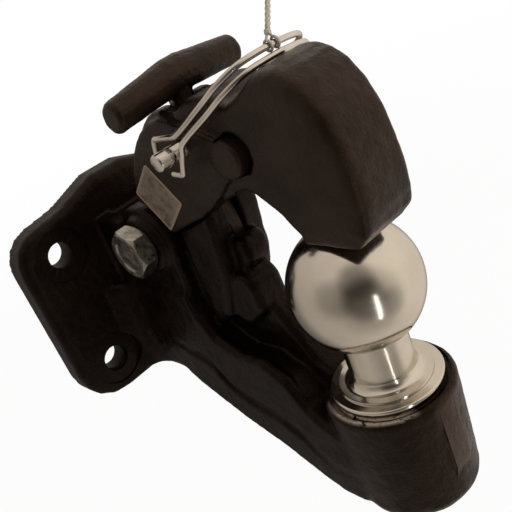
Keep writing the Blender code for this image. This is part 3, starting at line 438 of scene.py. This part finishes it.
def combine(target, other, operation="DIFFERENCE"):
    """Apply a Boolean to the target and remove the other object."""
    modifier = target.modifiers.new("boolean", "BOOLEAN")
    modifier.operation = operation
    modifier.solver = "MANIFOLD"
    modifier.object = other
    graph = bpy.context.evaluated_depsgraph_get()
    result = bpy.data.meshes.new_from_object(target.evaluated_get(graph))
    target.modifiers.clear()
    target.data = result
    bpy.data.objects.remove(other, do_unlink=True)
    return target


def welded_copy(node, name):
    """A closed copy of a CAD node's mesh."""
    bm = bmesh.new()
    bm.from_mesh(frame["nodes"][node].data)
    bmesh.ops.remove_doubles(bm, verts=bm.verts, dist=0.002 * MM)
    return mesh_piece(name, bm)


def remeshed(piece, voxel):
    modifier = piece.modifiers.new("remesh", "REMESH")
    modifier.mode = "VOXEL"
    modifier.voxel_size = voxel
    graph = bpy.context.evaluated_depsgraph_get()
    result = bpy.data.meshes.new_from_object(piece.evaluated_get(graph))
    piece.modifiers.clear()
    piece.data = result
    return piece


def relaxed(piece, steps, keep=None, back=0.52):
    """Smooth a mesh: each step moves points to their neighbours' mean, then back so that it doesn't shrink.

    keep(points) gives how much each point may move; without the way back, edges are rounded off.
    """
    mesh = piece.data
    count = len(mesh.vertices)
    points = np.empty(count * 3)
    mesh.vertices.foreach_get("co", points)
    points = points.reshape(-1, 3)
    ends = np.empty(len(mesh.edges) * 2, int)
    mesh.edges.foreach_get("vertices", ends)
    one, two = ends[0::2], ends[1::2]
    share = np.bincount(one, minlength=count) + np.bincount(two, minlength=count)
    free = 1.0 if keep is None else keep(points)[:, None]
    for weight in (0.6, -back) * steps:
        around = np.empty_like(points)
        for axis in range(3):
            total = np.bincount(one, points[two, axis], count) + np.bincount(two, points[one, axis], count)
            around[:, axis] = total / share
        points += (around - points) * weight * free
    mesh.vertices.foreach_set("co", points.ravel())
    mesh.update()
    return piece


def roughened(piece, layers, amount=None):
    """Move each point along its normal by noise.

    layers hold (wave length, height), and amount(point) scales the sum.
    """
    mesh = piece.data
    normals = [v.normal.copy() for v in mesh.vertices]
    for vertex, normal in zip(mesh.vertices, normals):
        shift = sum(height * noise.noise(vertex.co / wave) for wave, height in layers)
        if amount:
            shift *= amount(vertex.co)
        vertex.co += normal * shift
    mesh.update()
    return piece


def smoothstep(value, low, high):
    t = np.clip((value - low) / (high - low), 0, 1)
    return t * t * (3 - 2 * t)


def hitch_body():
    """The body's forging, rounded and rough, with its machined faces cut again."""
    made = welded_copy("hitch_body", "forged_body")
    for filler in body_fillers():
        combine(made, filler, "UNION")
    remeshed(made, 0.85 * MM)
    relaxed(made, 16, body_freedom)
    relaxed(made, 40, root_freedom, 0)
    roughened(made, [(9 * MM, 0.22 * MM), (3.6 * MM, 0.16 * MM)], body_roughness)
    combine(made, trimmed_land(), "UNION")
    for cutter in body_cutters():
        combine(made, cutter)
    return made


def body_fillers():
    """Plugs for the machined holes, and a smooth boss over the faceted one."""
    centres = [Vector((0, y, z)) for y, z in HOLE_PLACES]
    fillers = [rod("plug", HOLE_MOUTH, 0, 15.9 * MM, centre, FRONT) for centre in centres]
    fillers += [rod("spot_plug", SPOT_RADIUS + 0.3 * MM, 6 * MM, PLATE_THICKNESS, centre, FRONT)
                for centre in centres]
    boss = [(0, BOSS_BOTTOM), (24 * MM, BOSS_BOTTOM), (27.5 * MM, -98.5 * MM), (29.05 * MM, -95 * MM),
            (30.55 * MM, -44 * MM), (29.7 * MM, -42.1 * MM), (28.9 * MM, BOSS_TOP), (0, BOSS_TOP)]
    fillers.append(turned("round_boss", boss, BOSS_FOOT, UP, 128))
    for sign in (-1, 1):
        fillers.append(rod("bore_plug", EAR_BORE + 0.3 * MM, EAR_INNER, SEAT_FACE, PIVOT, SIDE * sign))
    return fillers


def trimmed_land():
    """The flat strip down the boss's front, with crisp edges and a chamfer on its far side."""
    bm = bmesh.new()
    rows = []
    for z, set_back in ((-44, 2.2), (-45.5, 0.5), (-78, 0), (-84, 1.6), (-88, 7)):
        front = 206.6 - set_back
        outline = ((170, -6.2), (front, -6.2), (front, 4.4), (front - 2, 8.6), (170, 8.6))
        rows.append([bm.verts.new(Vector((x, y, z)) * MM) for x, y in outline])
    return closed_skin("trimmed_land", bm, rows)


def body_freedom(points):
    """The plate's back stays flat."""
    return smoothstep(points[:, 0], 0.2 * MM, 2.5 * MM)


def root_freedom(points):
    """Only the root of the ears is rounded further."""
    x, y, z = points.T
    inside = smoothstep(x, 19 * MM, 24 * MM) * smoothstep(-x, -50 * MM, -44 * MM)
    return inside * smoothstep(np.abs(y), 12 * MM, 16 * MM) * smoothstep(-z, -48 * MM, -44 * MM)


def body_roughness(point):
    return min(1.0, max(0.0, (point.x - 0.5 * MM) / (3 * MM)))


def body_cutters():
    cutters = []
    for y, z in HOLE_PLACES:
        centre = Vector((0, y, z))
        stepped = [(0, -5 * MM), (HOLE_BACK, -5 * MM), (HOLE_BACK, -0.3 * MM), (HOLE_RADIUS, 0.9 * MM),
                   (HOLE_RADIUS, 15.2 * MM), (HOLE_MOUTH, 15.8 * MM), (HOLE_MOUTH, 22 * MM), (0, 22 * MM)]
        cutters.append(turned("hole", stepped, centre, FRONT))
        cutters.append(rod("spot", SPOT_RADIUS, PLATE_THICKNESS - 1 * MM, PLATE_THICKNESS + 9 * MM,
                           centre, FRONT))
    cutters.append(rod("bore", EAR_BORE, -40 * MM, 40 * MM, PIVOT, SIDE))
    for sign in (-1, 1):
        cutters.append(rod("seat", SEAT_RADIUS, SEAT_FACE, 40 * MM, PIVOT, SIDE * sign))
    cutters.append(rod("tongue_pocket", TONGUE_ROOM, -EAR_INNER, EAR_INNER, PIVOT, SIDE, 96))
    gap = [(41.5, 31.3), (84.4, 31.3), (84.4, 70), (36, 70), (36, 44)]
    cutters.append(prism("ear_gap", gap, EAR_INNER))
    angles = [math.radians(-26 + 2 * i) for i in range(13)]
    finger_path = [(PIVOT.x / MM + 51 * math.cos(a), PIVOT.z / MM + 51 * math.sin(a)) for a in angles]
    slot = [(80, 9), *finger_path, (126, 30.5), (126, 60), (80, 60)]
    cutters.append(prism("lever_slot", slot, 4.2 * MM))
    below, above = BOSS_BOTTOM - 10 * MM, BOSS_TOP + 4 * MM
    stepped = [(0, below), (COUNTERBORE_RADIUS, below), (COUNTERBORE_RADIUS, COUNTERBORE_TOP),
               (SHANK_BORE, COUNTERBORE_TOP), (SHANK_BORE, SPOTFACE_FLOOR),
               (SPOTFACE_RADIUS, SPOTFACE_FLOOR), (SPOTFACE_RADIUS, above), (0, above)]
    cutters.append(turned("ball_bore", stepped, BOSS_FOOT, UP, 128))
    return cutters


def latch():
    """The latch's forging, rounded and rough, with its machined faces cut again."""
    made = welded_copy("latch", "forged_latch")
    combine(made, rod("pin_plug", PIN_PLUG, -18.5 * MM, 18.5 * MM, PIN, SIDE), "UNION")
    combine(made, rod("hinge_plug", PIN_PLUG, 5 * MM, 18.5 * MM, HINGE, SIDE), "UNION")
    remeshed(made, 0.65 * MM)
    relaxed(made, 16)
    relaxed(made, 150, ridge_freedom, 0)
    roughened(made, [(9 * MM, 0.22 * MM), (3.4 * MM, 0.15 * MM)], latch_roughness)
    for cutter in latch_cutters():
        combine(made, cutter)
    return made


NOSE_LINE = [(160, 98.8), (171, 106), (179, 108.4), (190, 105.6), (201.8, 92.2), (207.2, 71.2),
             (207.6, 50), (205.8, 43)]


def ridge_freedom(points):
    """Only the near ridge of the nose is rounded off."""
    x, y, z = points.T / MM
    reach = np.full(len(points), 100.0)
    for (x1, z1), (x2, z2) in zip(NOSE_LINE, NOSE_LINE[1:]):
        dx, dz = x2 - x1, z2 - z1
        t = np.clip(((x - x1) * dx + (z - z1) * dz) / (dx * dx + dz * dz), 0, 1)
        reach = np.minimum(reach, np.hypot(x - x1 - t * dx, z - z1 - t * dz))
    near = smoothstep(-reach, -18, -10) * smoothstep(-y, 2, 7)
    return near * smoothstep(z, 42, 52) * smoothstep(x, 158, 172)


def latch_roughness(point):
    """The flat cheeks stay almost smooth under the label."""
    return 0.25 if abs(point.y) > 18.2 * MM else 1.0


def latch_cutters():
    angles = [math.radians(degrees) for degrees in range(-85, 86, 5)]
    hollow_ball = [(BALL_ROOM * math.cos(a), BALL_ROOM * math.sin(a)) for a in angles]
    cutters = [turned("dish", [(0, -BALL_ROOM), *hollow_ball, (0, BALL_ROOM)], BALL, UP)]
    cutters.append(rod("pivot_bore", LATCH_BORE, -30 * MM, 30 * MM, PIVOT, SIDE))
    for sign in (-1, 1):
        cutters.append(rod("ear_room", EAR_ROOM, 10.9 * MM, 40 * MM, PIVOT, SIDE * sign, 128))
    slot = [(90, 30), (113, 30), (113, 51), (121.5, 51), (121.5, 110), (100, 110), (92, 74)]
    cutters.append(prism("lever_slot", slot, 4.3 * MM))
    pocket = [(101.5, 87.2), (124, 87.2), (126, 112), (100.5, 112)]
    cutters.append(prism("stem_pocket", pocket, 7.5 * MM))
    for sign in (-1, 1):
        hollow = rod("hollow", HOLLOW_RADIUS, 12.1 * MM, 18.6 * MM, PAD + HOLLOW_SHIFT, SIDE * sign)
        cutters.append(combine(hollow, rod("pad", PAD_RADIUS, 5 * MM, 25 * MM, PAD, SIDE * sign)))
    cutters.append(rod("lever_pin_bore", PIN_BORE, -14 * MM, 30 * MM, HINGE, SIDE))
    cutters.append(rod("lock_pin_bore", PIN_BORE, -30 * MM, 30 * MM, PIN, SIDE))
    return cutters


dress(hitch_body(), BODY_PAINT_PAINTED_LIGHT, "body", ["hitch_body"], 40)
dress(latch(), LATCH_PAINT, "latch", ["latch"], 40)


def hitch_ball():
    """Ball, neck, stepped collar and shank, with the turned faces' small edges."""
    start, end = -math.acos(NECK_RADIUS / BALL_RADIUS), math.radians(87.5)
    sphere = [(BALL_RADIUS * math.cos(a), BALL.z + BALL_RADIUS * math.sin(a))
              for a in (start + (end - start) * i / 48 for i in range(49))]
    fillet_radius = 4.5 * MM
    fillet = [(NECK_RADIUS + fillet_radius * (1 - math.sin(a)), -32.5 * MM - fillet_radius * math.cos(a))
              for a in (math.radians(9 * i) for i in range(1, 11))]
    profile = [(0, -98 * MM), (11.7 * MM, -98 * MM), (BALL_SHANK, -97 * MM), (BALL_SHANK, -43.2 * MM),
               (25.6 * MM, -43.2 * MM), (26 * MM, -42.8 * MM), (26 * MM, -39.1 * MM),
               (25.8 * MM, -38.6 * MM), (25.3 * MM, -38.4 * MM), (22.4 * MM, -38.4 * MM),
               (21.9 * MM, -38.2 * MM), (21.8 * MM, -37.6 * MM), (21.6 * MM, -37.1 * MM),
               (21.1 * MM, -37 * MM), *fillet, *sphere, (0, BALL.z + BALL_RADIUS)]
    return turned("chrome_ball", profile, BOSS_FOOT, UP, 128)


dress(hitch_ball(), CHROME, "body", ["hitch_ball"], 50)


def hexagon(name, across, low, high, origin, axis, turn, chamfer):
    """A hexagon whose ends are chamfered round, as forged heads and nuts are."""
    bm = bmesh.new()
    spin = axis.to_track_quat("Z", "Y").to_matrix()
    count = 72
    flat = across / 2
    corner = across / math.sqrt(3)
    rows = []
    for height, outward in ((low, 0), (low + chamfer, -1), (high - chamfer, 1), (high, 0)):
        row = []
        for i in range(count):
            angle = 2 * math.pi * i / count
            radius = flat / math.cos((angle % (math.pi / 3)) - math.pi / 6)
            arch = chamfer * (1 - (radius - flat) / (corner - flat)) * 0.92
            if not outward:
                radius = flat * 0.985
            x, y = radius * math.cos(angle + turn), radius * math.sin(angle + turn)
            row.append(bm.verts.new(origin + spin @ Vector((x, y, height + outward * arch))))
        rows.append(row)
    return closed_skin(name, bm, rows)


def thread(name, radius, low, high, pitch, origin, axis):
    """A rod with a screw thread of triangular section, tapered over its end."""
    bm = bmesh.new()
    spin = axis.to_track_quat("Z", "Y").to_matrix()
    facets = 48
    depth = pitch * 0.55
    tapered = 1.2 * MM
    steps = int((high - low) / pitch * 4) + 1
    rows = []
    for j in range(steps + 1):
        z = low + (high - low) * j / steps
        row = []
        for i in range(facets):
            angle = 2 * math.pi * i / facets
            phase = (z / pitch - angle / (2 * math.pi)) % 1
            cut = max(depth * abs(2 * phase - 1), z - (high - tapered))
            r = radius - cut
            row.append(bm.verts.new(origin + spin @ Vector((r * math.cos(angle), r * math.sin(angle), z))))
        rows.append(row)
    return closed_skin(name, bm, rows)


def joined(name, pieces):
    """One object from several closed pieces that touch."""
    bm = bmesh.new()
    for piece in pieces:
        bm.from_mesh(piece.data)
        bpy.data.objects.remove(piece, do_unlink=True)
    return mesh_piece(name, bm)


def pivot_bolt():
    """Bolt with a washer face under its dished head, and a cut thread at its far end."""
    base = BOLT_SEAT
    head = hexagon("head", BOLT_FLATS, base + 0.5 * MM, base + 10 * MM, PIVOT, -SIDE,
                   math.radians(12 - 30), 1.7 * MM)
    floor, above = base + 9.3 * MM, base + 11 * MM
    hollow = [(0, floor), (8.2 * MM, floor), (9 * MM, base + 9.9 * MM), (9.6 * MM, above), (0, above)]
    combine(head, turned("dish", hollow, PIVOT, -SIDE))
    washer_face = rod("washer_face", 11.6 * MM, base, base + 0.9 * MM, PIVOT, -SIDE, 96)
    shank = rod("shank", BOLT_RADIUS, -base - 0.5 * MM, 25 * MM, PIVOT, SIDE)
    end = thread("end", BOLT_RADIUS - 0.05 * MM, 24 * MM, 48.2 * MM, 2 * MM, PIVOT, SIDE)
    for other in (washer_face, shank, end):
        combine(head, other, "UNION")
    head.name = "hex_bolt"
    return head


def pivot_nut():
    """Nut with a bore that is chamfered at both ends."""
    low, high = NUT_SEAT, NUT_SEAT + 13 * MM
    bore, mouth, past, chamfer = 8.3 * MM, 9.4 * MM, 2 * MM, 1.1 * MM
    made = hexagon("hex_nut", BOLT_FLATS, low, high, PIVOT, SIDE, math.radians(8 - 30), 1.5 * MM)
    profile = [(0, low - past), (mouth, low - past), (mouth, low), (bore, low + chamfer),
               (bore, high - chamfer), (mouth, high), (mouth, high + past), (0, high + past)]
    return combine(made, turned("bore", profile, PIVOT, SIDE))


dress(pivot_bolt(), ZINC, "body", ["pivot_bolt"], 30)
dress(pivot_nut(), ZINC, "body", ["pivot_nut"], 30)


def pivot_washer():
    """Washer with one crisp and one rounded rim, as it leaves the punch."""
    low, high = BOLT_SEAT, BOLT_SEAT + 4 * MM
    bore, rim = 8.4 * MM, 13.7 * MM
    ring = [(bore, low + 0.3 * MM), (bore + 0.3 * MM, low), (rim - 0.4 * MM, low), (rim, low + 0.5 * MM),
            (rim, high - 0.7 * MM), (rim - 0.5 * MM, high), (bore + 0.3 * MM, high),
            (bore, high - 0.3 * MM)]
    return turned("flat_washer", ring, PIVOT, SIDE)


dress(pivot_washer(), ZINC, "body", ["pivot_washer"], 30)


def t_handle():
    """The cast cross bar and its stem, fused and softened."""
    made = welded_copy("lock_handle", "t_handle")
    remeshed(made, 0.6 * MM)
    relaxed(made, 10)
    roughened(made, [(7 * MM, 0.16 * MM), (3 * MM, 0.12 * MM)])
    fork = prism("fork", [(95, 85), (125, 85), (125, 102.6), (95, 102.6)], 3.9 * MM)
    combine(made, fork)
    combine(made, rod("roll_bore", 2.15 * MM, -12 * MM, 12 * MM, Vector((109.5, 0, 97)) * MM, SIDE))
    return made


dress(t_handle(), LATCH_PAINT, "lever", ["lock_handle"], 40)


def lock_pin():
    """The pin with its chamfered tip and its thicker, cross-drilled head."""
    profile = [(0, -33.5 * MM), (3.1 * MM, -33.5 * MM), (3.6 * MM, -33.3 * MM),
               (LOCK_PIN_RADIUS, -32.6 * MM), (LOCK_PIN_RADIUS, 22 * MM), (5.1 * MM, 22 * MM),
               (LOCK_PIN_HEAD, 22.4 * MM), (LOCK_PIN_HEAD, 33 * MM), (5.1 * MM, 33.8 * MM),
               (4.5 * MM, 34 * MM), (0, 34 * MM)]
    made = turned("locking_pin", profile, PIN, SIDE, 64)
    hole = rod("hole", 1.6 * MM, -9 * MM, 9 * MM, PIN + SIDE * 28.5 * MM, BOW_ACROSS, 32)
    return combine(made, hole)


dress(lock_pin(), WIRE, "pin", ["lock_pin"], 40)


def bail_point(across, out, y):
    """A point by its places across the bow's plane, outward from the pin and along it, in millimetres."""
    return PIN + (BOW_ACROSS * across + BOW_OUT * out + SIDE * y) * MM


BAIL_GUIDE = [(5.45, -6.6, -26), (8.6, -2.6, -26), (9.4, -0.6, -26), (8.4, 1.4, -26), (4.6, 8.5, -26),
              (2.1, 14.4, -25.4), (2.1, 29.8, -19.6), (2.1, 42, -15.6), (2.1, 50, -7.2), (2.1, 51.6, 9.3),
              (2.1, 51, 13), (2.1, 49.2, 22.5), (2.1, 45.5, 29.5), (2.1, 38, 32.6), (4.5, 25, 32),
              (7.8, 12, 30), (8.2, 4, 29.3), (7.8, 0.4, 28.5), (6.2, 0, 28.5)]
CORD_TIE = 9


def smooth_path(points, steps):
    """A Catmull-Rom curve through points."""
    guide = [points[0] * 2 - points[1], *points, points[-1] * 2 - points[-2]]
    path = []
    for a, b, c, d in zip(guide, guide[1:], guide[2:], guide[3:]):
        for i in range(steps):
            t = i / steps
            path.append(0.5 * ((2 * b) + (c - a) * t + (2 * a - 5 * b + 4 * c - d) * t ** 2
                               + (3 * b - a - 3 * c + d) * t ** 3))
    path.append(points[-1])
    return path


def tube(name, path, radius, facets=20, twist=0.0, lobes=0, depth=0.0):
    """A tube along a path; lobes and twist make it a laid cord."""
    bm = bmesh.new()
    rings = []
    across = (path[1] - path[0]).orthogonal().normalized()
    travelled = 0.0
    for i, point in enumerate(path):
        along = (path[min(i + 1, len(path) - 1)] - path[max(i - 1, 0)]).normalized()
        across = (across - along * across.dot(along)).normalized()
        other = along.cross(across)
        if i:
            travelled += (point - path[i - 1]).length
        size = radius * (0.8 if i in (0, len(path) - 1) else 1.0)
        ring = []
        for k in range(facets):
            angle = 2 * math.pi * k / facets
            r = size * (1 - depth * (0.5 - 0.5 * math.cos(lobes * (angle - twist * travelled))))
            ring.append(bm.verts.new(point + (across * math.cos(angle) + other * math.sin(angle)) * r))
        rings.append(ring)
    return closed_skin(name, bm, rings)


def wire_bail():
    """Both wires of the bow, bent from one length."""
    first = [bail_point(*point) for point in BAIL_GUIDE]
    second = [bail_point(-a, d, y) for a, d, y in reversed(BAIL_GUIDE)]
    return tube("bent_wire", smooth_path(first + second, 10), WIRE_RADIUS)


dress(wire_bail(), WIRE, "bail", ["wire_bail"], 60)


def cord_pieces():
    """The laid cord, its loop and knot on the bail, and the knot at its far end."""
    tie = bail_point(*BAIL_GUIDE[CORD_TIE])
    along = (bail_point(*BAIL_GUIDE[CORD_TIE + 1]) - bail_point(*BAIL_GUIDE[CORD_TIE - 1])).normalized()
    across = (CORD_DIRECTION - along * CORD_DIRECTION.dot(along)).normalized()
    knot = tie + across * 3.5 * MM + CORD_DIRECTION * 1.2 * MM
    start = knot + CORD_DIRECTION * 1.1 * MM
    path = [start + CORD_DIRECTION * CORD_LENGTH * i / 120 for i in range(121)]
    cord = tube("laid_cord", path, CORD_RADIUS, 24, twist=2 * math.pi / (6.5 * MM), lobes=3, depth=0.28)
    loop_radius = WIRE_RADIUS + TWINE_RADIUS + 0.2 * MM
    loops = []
    for shift in (-1.9, 1.9):
        centre = tie + along * shift * MM
        ring = [centre + (across * math.cos(a) + along.cross(across) * math.sin(a)) * loop_radius
                for a in (2 * math.pi * i / 40 for i in range(41))]
        loops.append(tube("turn", ring, TWINE_RADIUS, 12))
        foot = centre + across * loop_radius
        loops.append(tube("leg", [knot, (knot + foot) / 2, foot], TWINE_RADIUS, 12))
    wrapped = overhand("knot", knot, 0.8 * MM, 0.7 * MM)
    tied = joined("tied_knot", [*loops, wrapped])
    end = overhand("end_knot", start + CORD_DIRECTION * (CORD_LENGTH + 1.6 * MM), CORD_RADIUS, 0.85 * MM)
    return cord, tied, end, start, path


def overhand(name, centre, radius, strand):
    """A small trefoil of strand, as a drawn-up knot looks."""
    one = CORD_DIRECTION.orthogonal().normalized()
    two = CORD_DIRECTION.cross(one)
    path = []
    for i in range(91):
        t = 2 * math.pi * i / 90
        x = (math.sin(t) + 1.6 * math.sin(2 * t)) * 0.42
        y = (math.cos(t) - 1.6 * math.cos(2 * t)) * 0.42
        z = -math.sin(3 * t) * 0.8
        path.append(centre + (one * x + two * y) * radius + CORD_DIRECTION * z * radius)
    return tube(name, path, strand, 12)


cord, tied_knot, far_knot, cord_start, cord_path = cord_pieces()
dress(cord, CORD, "bail", ["tie_cord"], 60)
dress(tied_knot, CORD, "bail", ["cord_knot"], 60)
dress(far_knot, CORD, "bail", ["cord_end_knot"], 60)


def label():
    """A plain film with rounded corners that lies on the cheek, a little uneven."""
    right = Vector((math.cos(LABEL_TURN), 0, math.sin(LABEL_TURN))) * LABEL_ACROSS
    top = Vector((-math.sin(LABEL_TURN), 0, math.cos(LABEL_TURN))) * LABEL_ALONG
    steps = 24
    bm = bmesh.new()
    grids = []
    for depth in (0.1, 0.32):
        grid = {}
        for i in range(steps + 1):
            for j in range(steps + 1):
                u, v = round_corner(i / steps - 0.5, j / steps - 0.5, 0.045)
                lift = 0.05 * noise.noise(Vector((u * 3, v * 3, 0.3)))
                place = LABEL_CENTRE + right * u + top * v - SIDE * (depth + lift) * MM
                grid[i, j] = bm.verts.new(place)
        grids.append(grid)
    for grid in grids:
        for i in range(steps):
            for j in range(steps):
                bm.faces.new((grid[i, j], grid[i + 1, j], grid[i + 1, j + 1], grid[i, j + 1]))
    there, back = range(steps), range(steps, 0, -1)
    rim = [(i, 0) for i in there] + [(steps, j) for j in there]
    rim += [(i, steps) for i in back] + [(0, j) for j in back]
    low, high = grids
    band(bm, [low[key] for key in rim], [high[key] for key in rim])
    return mesh_piece("plain_label", bm)


def round_corner(u, v, radius):
    """A point of the unit square about 0, drawn in where it lies past the round of a corner."""
    reach = 0.5 - radius
    du, dv = max(0, abs(u) - reach), max(0, abs(v) - reach)
    past = math.hypot(du, dv)
    if past > radius:
        u = math.copysign(min(abs(u), reach) + du * radius / past, u)
        v = math.copysign(min(abs(v), reach) + dv * radius / past, v)
    return u, v


dress(label(), LABEL, "latch", ["label_sticker"], 50)


def lever_spring():
    """The compression spring between its pocket and the lever's heel."""
    low, high, radius = 51.8 * MM, 63.7 * MM, 3 * MM
    turns, steps = 4, 32
    path = []
    for i in range(steps * turns + 1):
        angle = 2 * math.pi * i / steps
        path.append(Vector((115.5 * MM + radius * math.cos(angle), radius * math.sin(angle),
                            low + (high - low) * i / (steps * turns))))
    return tube("coil_spring", path, 0.5 * MM, 10)


dress(lever_spring(), STEEL, "latch", ["lever_spring"], 60)

KEPT = {"lock_lever": LATCH_PAINT, "lever_pin": STEEL, "handle_roll_pin": STEEL, "pivot_sleeve": STEEL,
        "ball_washer": ZINC, "ball_nut": ZINC}
for node, look in KEPT.items():
    shown = frame["nodes"][node]
    shown.data.materials.clear()
    shown.data.materials.append(look)


WARM_WHITE = colour(1.0, 0.88, 0.77)
PURE_WHITE = colour(1, 1, 1)
ROOM_LEVEL = 0.74
ROOM_SLOPE = (0.17, 0.17, 0.09)
# The middle of each dark place of the room, the cosines at its edge and core, and the light left there.
ROOM_DARK = [((0.862, -0.492, -0.117), 0.40, 0.95, 0.52), ((0.800, -0.600, 0.010), 0.74, 0.95, 0.34),
             ((0.660, -0.540, 0.520), 0.78, 0.97, 0.42), ((0.100, -0.985, 0.140), 0.78, 0.99, 0.58),
             ((0.930, 0.020, -0.360), 0.90, 0.995, 0.62), ((-0.800, 0.300, -0.520), 0.50, 0.90, 0.30)]
FLOOR_PLACE = Vector((0.1, 0, -0.22))


def room(nodes, direction):
    """How bright the room is in a direction: brighter to the right, with dark places in front."""
    level = nodes.math("ADD", nodes.dot(direction, ROOM_SLOPE), ROOM_LEVEL)
    for middle, edge, core, left in ROOM_DARK:
        shade = nodes.range(nodes.dot(direction, middle), edge, core, 1, left, "SMOOTHSTEP")
        level = nodes.math("MULTIPLY", level, shade)
    return level


def floor():
    """A pale floor well below the hanging hitch."""
    bm = bmesh.new()
    bmesh.ops.create_grid(bm, x_segments=1, y_segments=1, size=6)
    made = mesh_piece("floor", bm)
    made.location = FLOOR_PLACE
    s = Shader("floor_white")
    s.surface(Base_Color=colour(0.88, 0.88, 0.88), Roughness=0.9)
    path = s.node("LightPath")
    plain = s.math("MAXIMUM", path.outputs["Is Camera Ray"], path.outputs["Is Transmission Ray"])
    seen = s.math("MAXIMUM", plain, path.outputs["Is Glossy Ray"])
    distance = s.vector("LENGTH", s.place, output="Value")
    direction = s.vector("NORMALIZE", s.vector("ADD", s.place, FLOOR_PLACE - BALL))
    glow = s.node("Emission")
    s.join(s.math("MAXIMUM", plain, room(s, direction)), glow.inputs["Strength"])
    s.join(s.blend(plain, WARM_WHITE, PURE_WHITE), glow.inputs["Color"])
    share = s.math("MULTIPLY", seen, s.range(distance, 0.5, 1.6, 0.95, 1))
    mixed = s.mixed_shader(share, s.main.outputs[0], glow.outputs[0])
    s.join(mixed, s.tree.nodes["Material Output"].inputs["Surface"])
    made.data.materials.append(s.material)


def world():
    """Soft light from all sides; rays from the camera and from metal see the white room instead."""
    made = bpy.data.worlds.new("world")
    bpy.context.scene.world = made
    made.use_nodes = True
    s = Nodes(made.node_tree)
    sky = s.tree.nodes["Background"]
    sky.inputs["Color"].default_value = colour(1.0, 0.975, 0.95)
    sky.inputs["Strength"].default_value = 0.33
    path = s.node("LightPath")
    plain = s.math("MAXIMUM", path.outputs["Is Camera Ray"], path.outputs["Is Transmission Ray"])
    seen = s.math("MAXIMUM", plain, path.outputs["Is Glossy Ray"])
    white = s.node("Background")
    s.join(s.blend(plain, WARM_WHITE, PURE_WHITE), white.inputs["Color"])
    direction = s.node("TexCoord").outputs["Generated"]
    s.join(s.math("MAXIMUM", plain, room(s, direction)), white.inputs["Strength"])
    mixed = s.mixed_shader(seen, sky.outputs[0], white.outputs[0])
    s.join(mixed, s.tree.nodes["World Output"].inputs["Surface"])


def lamp(name, place, size, power, height=None, mirrored=False):
    """A warm area lamp that faces the hitch; only a mirrored one shows in metal and gloss."""
    data = bpy.data.lights.new(name, "AREA")
    data.size = size
    if height:
        data.shape = "RECTANGLE"
        data.size_y = height
    data.energy = power
    data.color = (1, 0.96, 0.91)
    made = bpy.data.objects.new(name, data)
    made.location = place
    made.rotation_mode = "QUATERNION"
    made.rotation_quaternion = (Vector((0.12, 0, 0.01)) - Vector(place)).to_track_quat("-Z", "Y")
    made.visible_camera = False
    made.visible_glossy = mirrored
    bpy.context.scene.collection.objects.link(made)


floor()
world()
lamp("key", (1.10, 0.55, 0.85), 1.3, 12.5)
lamp("left", (-0.15, -0.75, 1.25), 1.0, 2.6)
lamp("strip", (0.47, -0.115, -0.095), 0.016, 0.07, height=0.23, mirrored=True)

bpy.context.scene.view_settings.view_transform = "Standard"
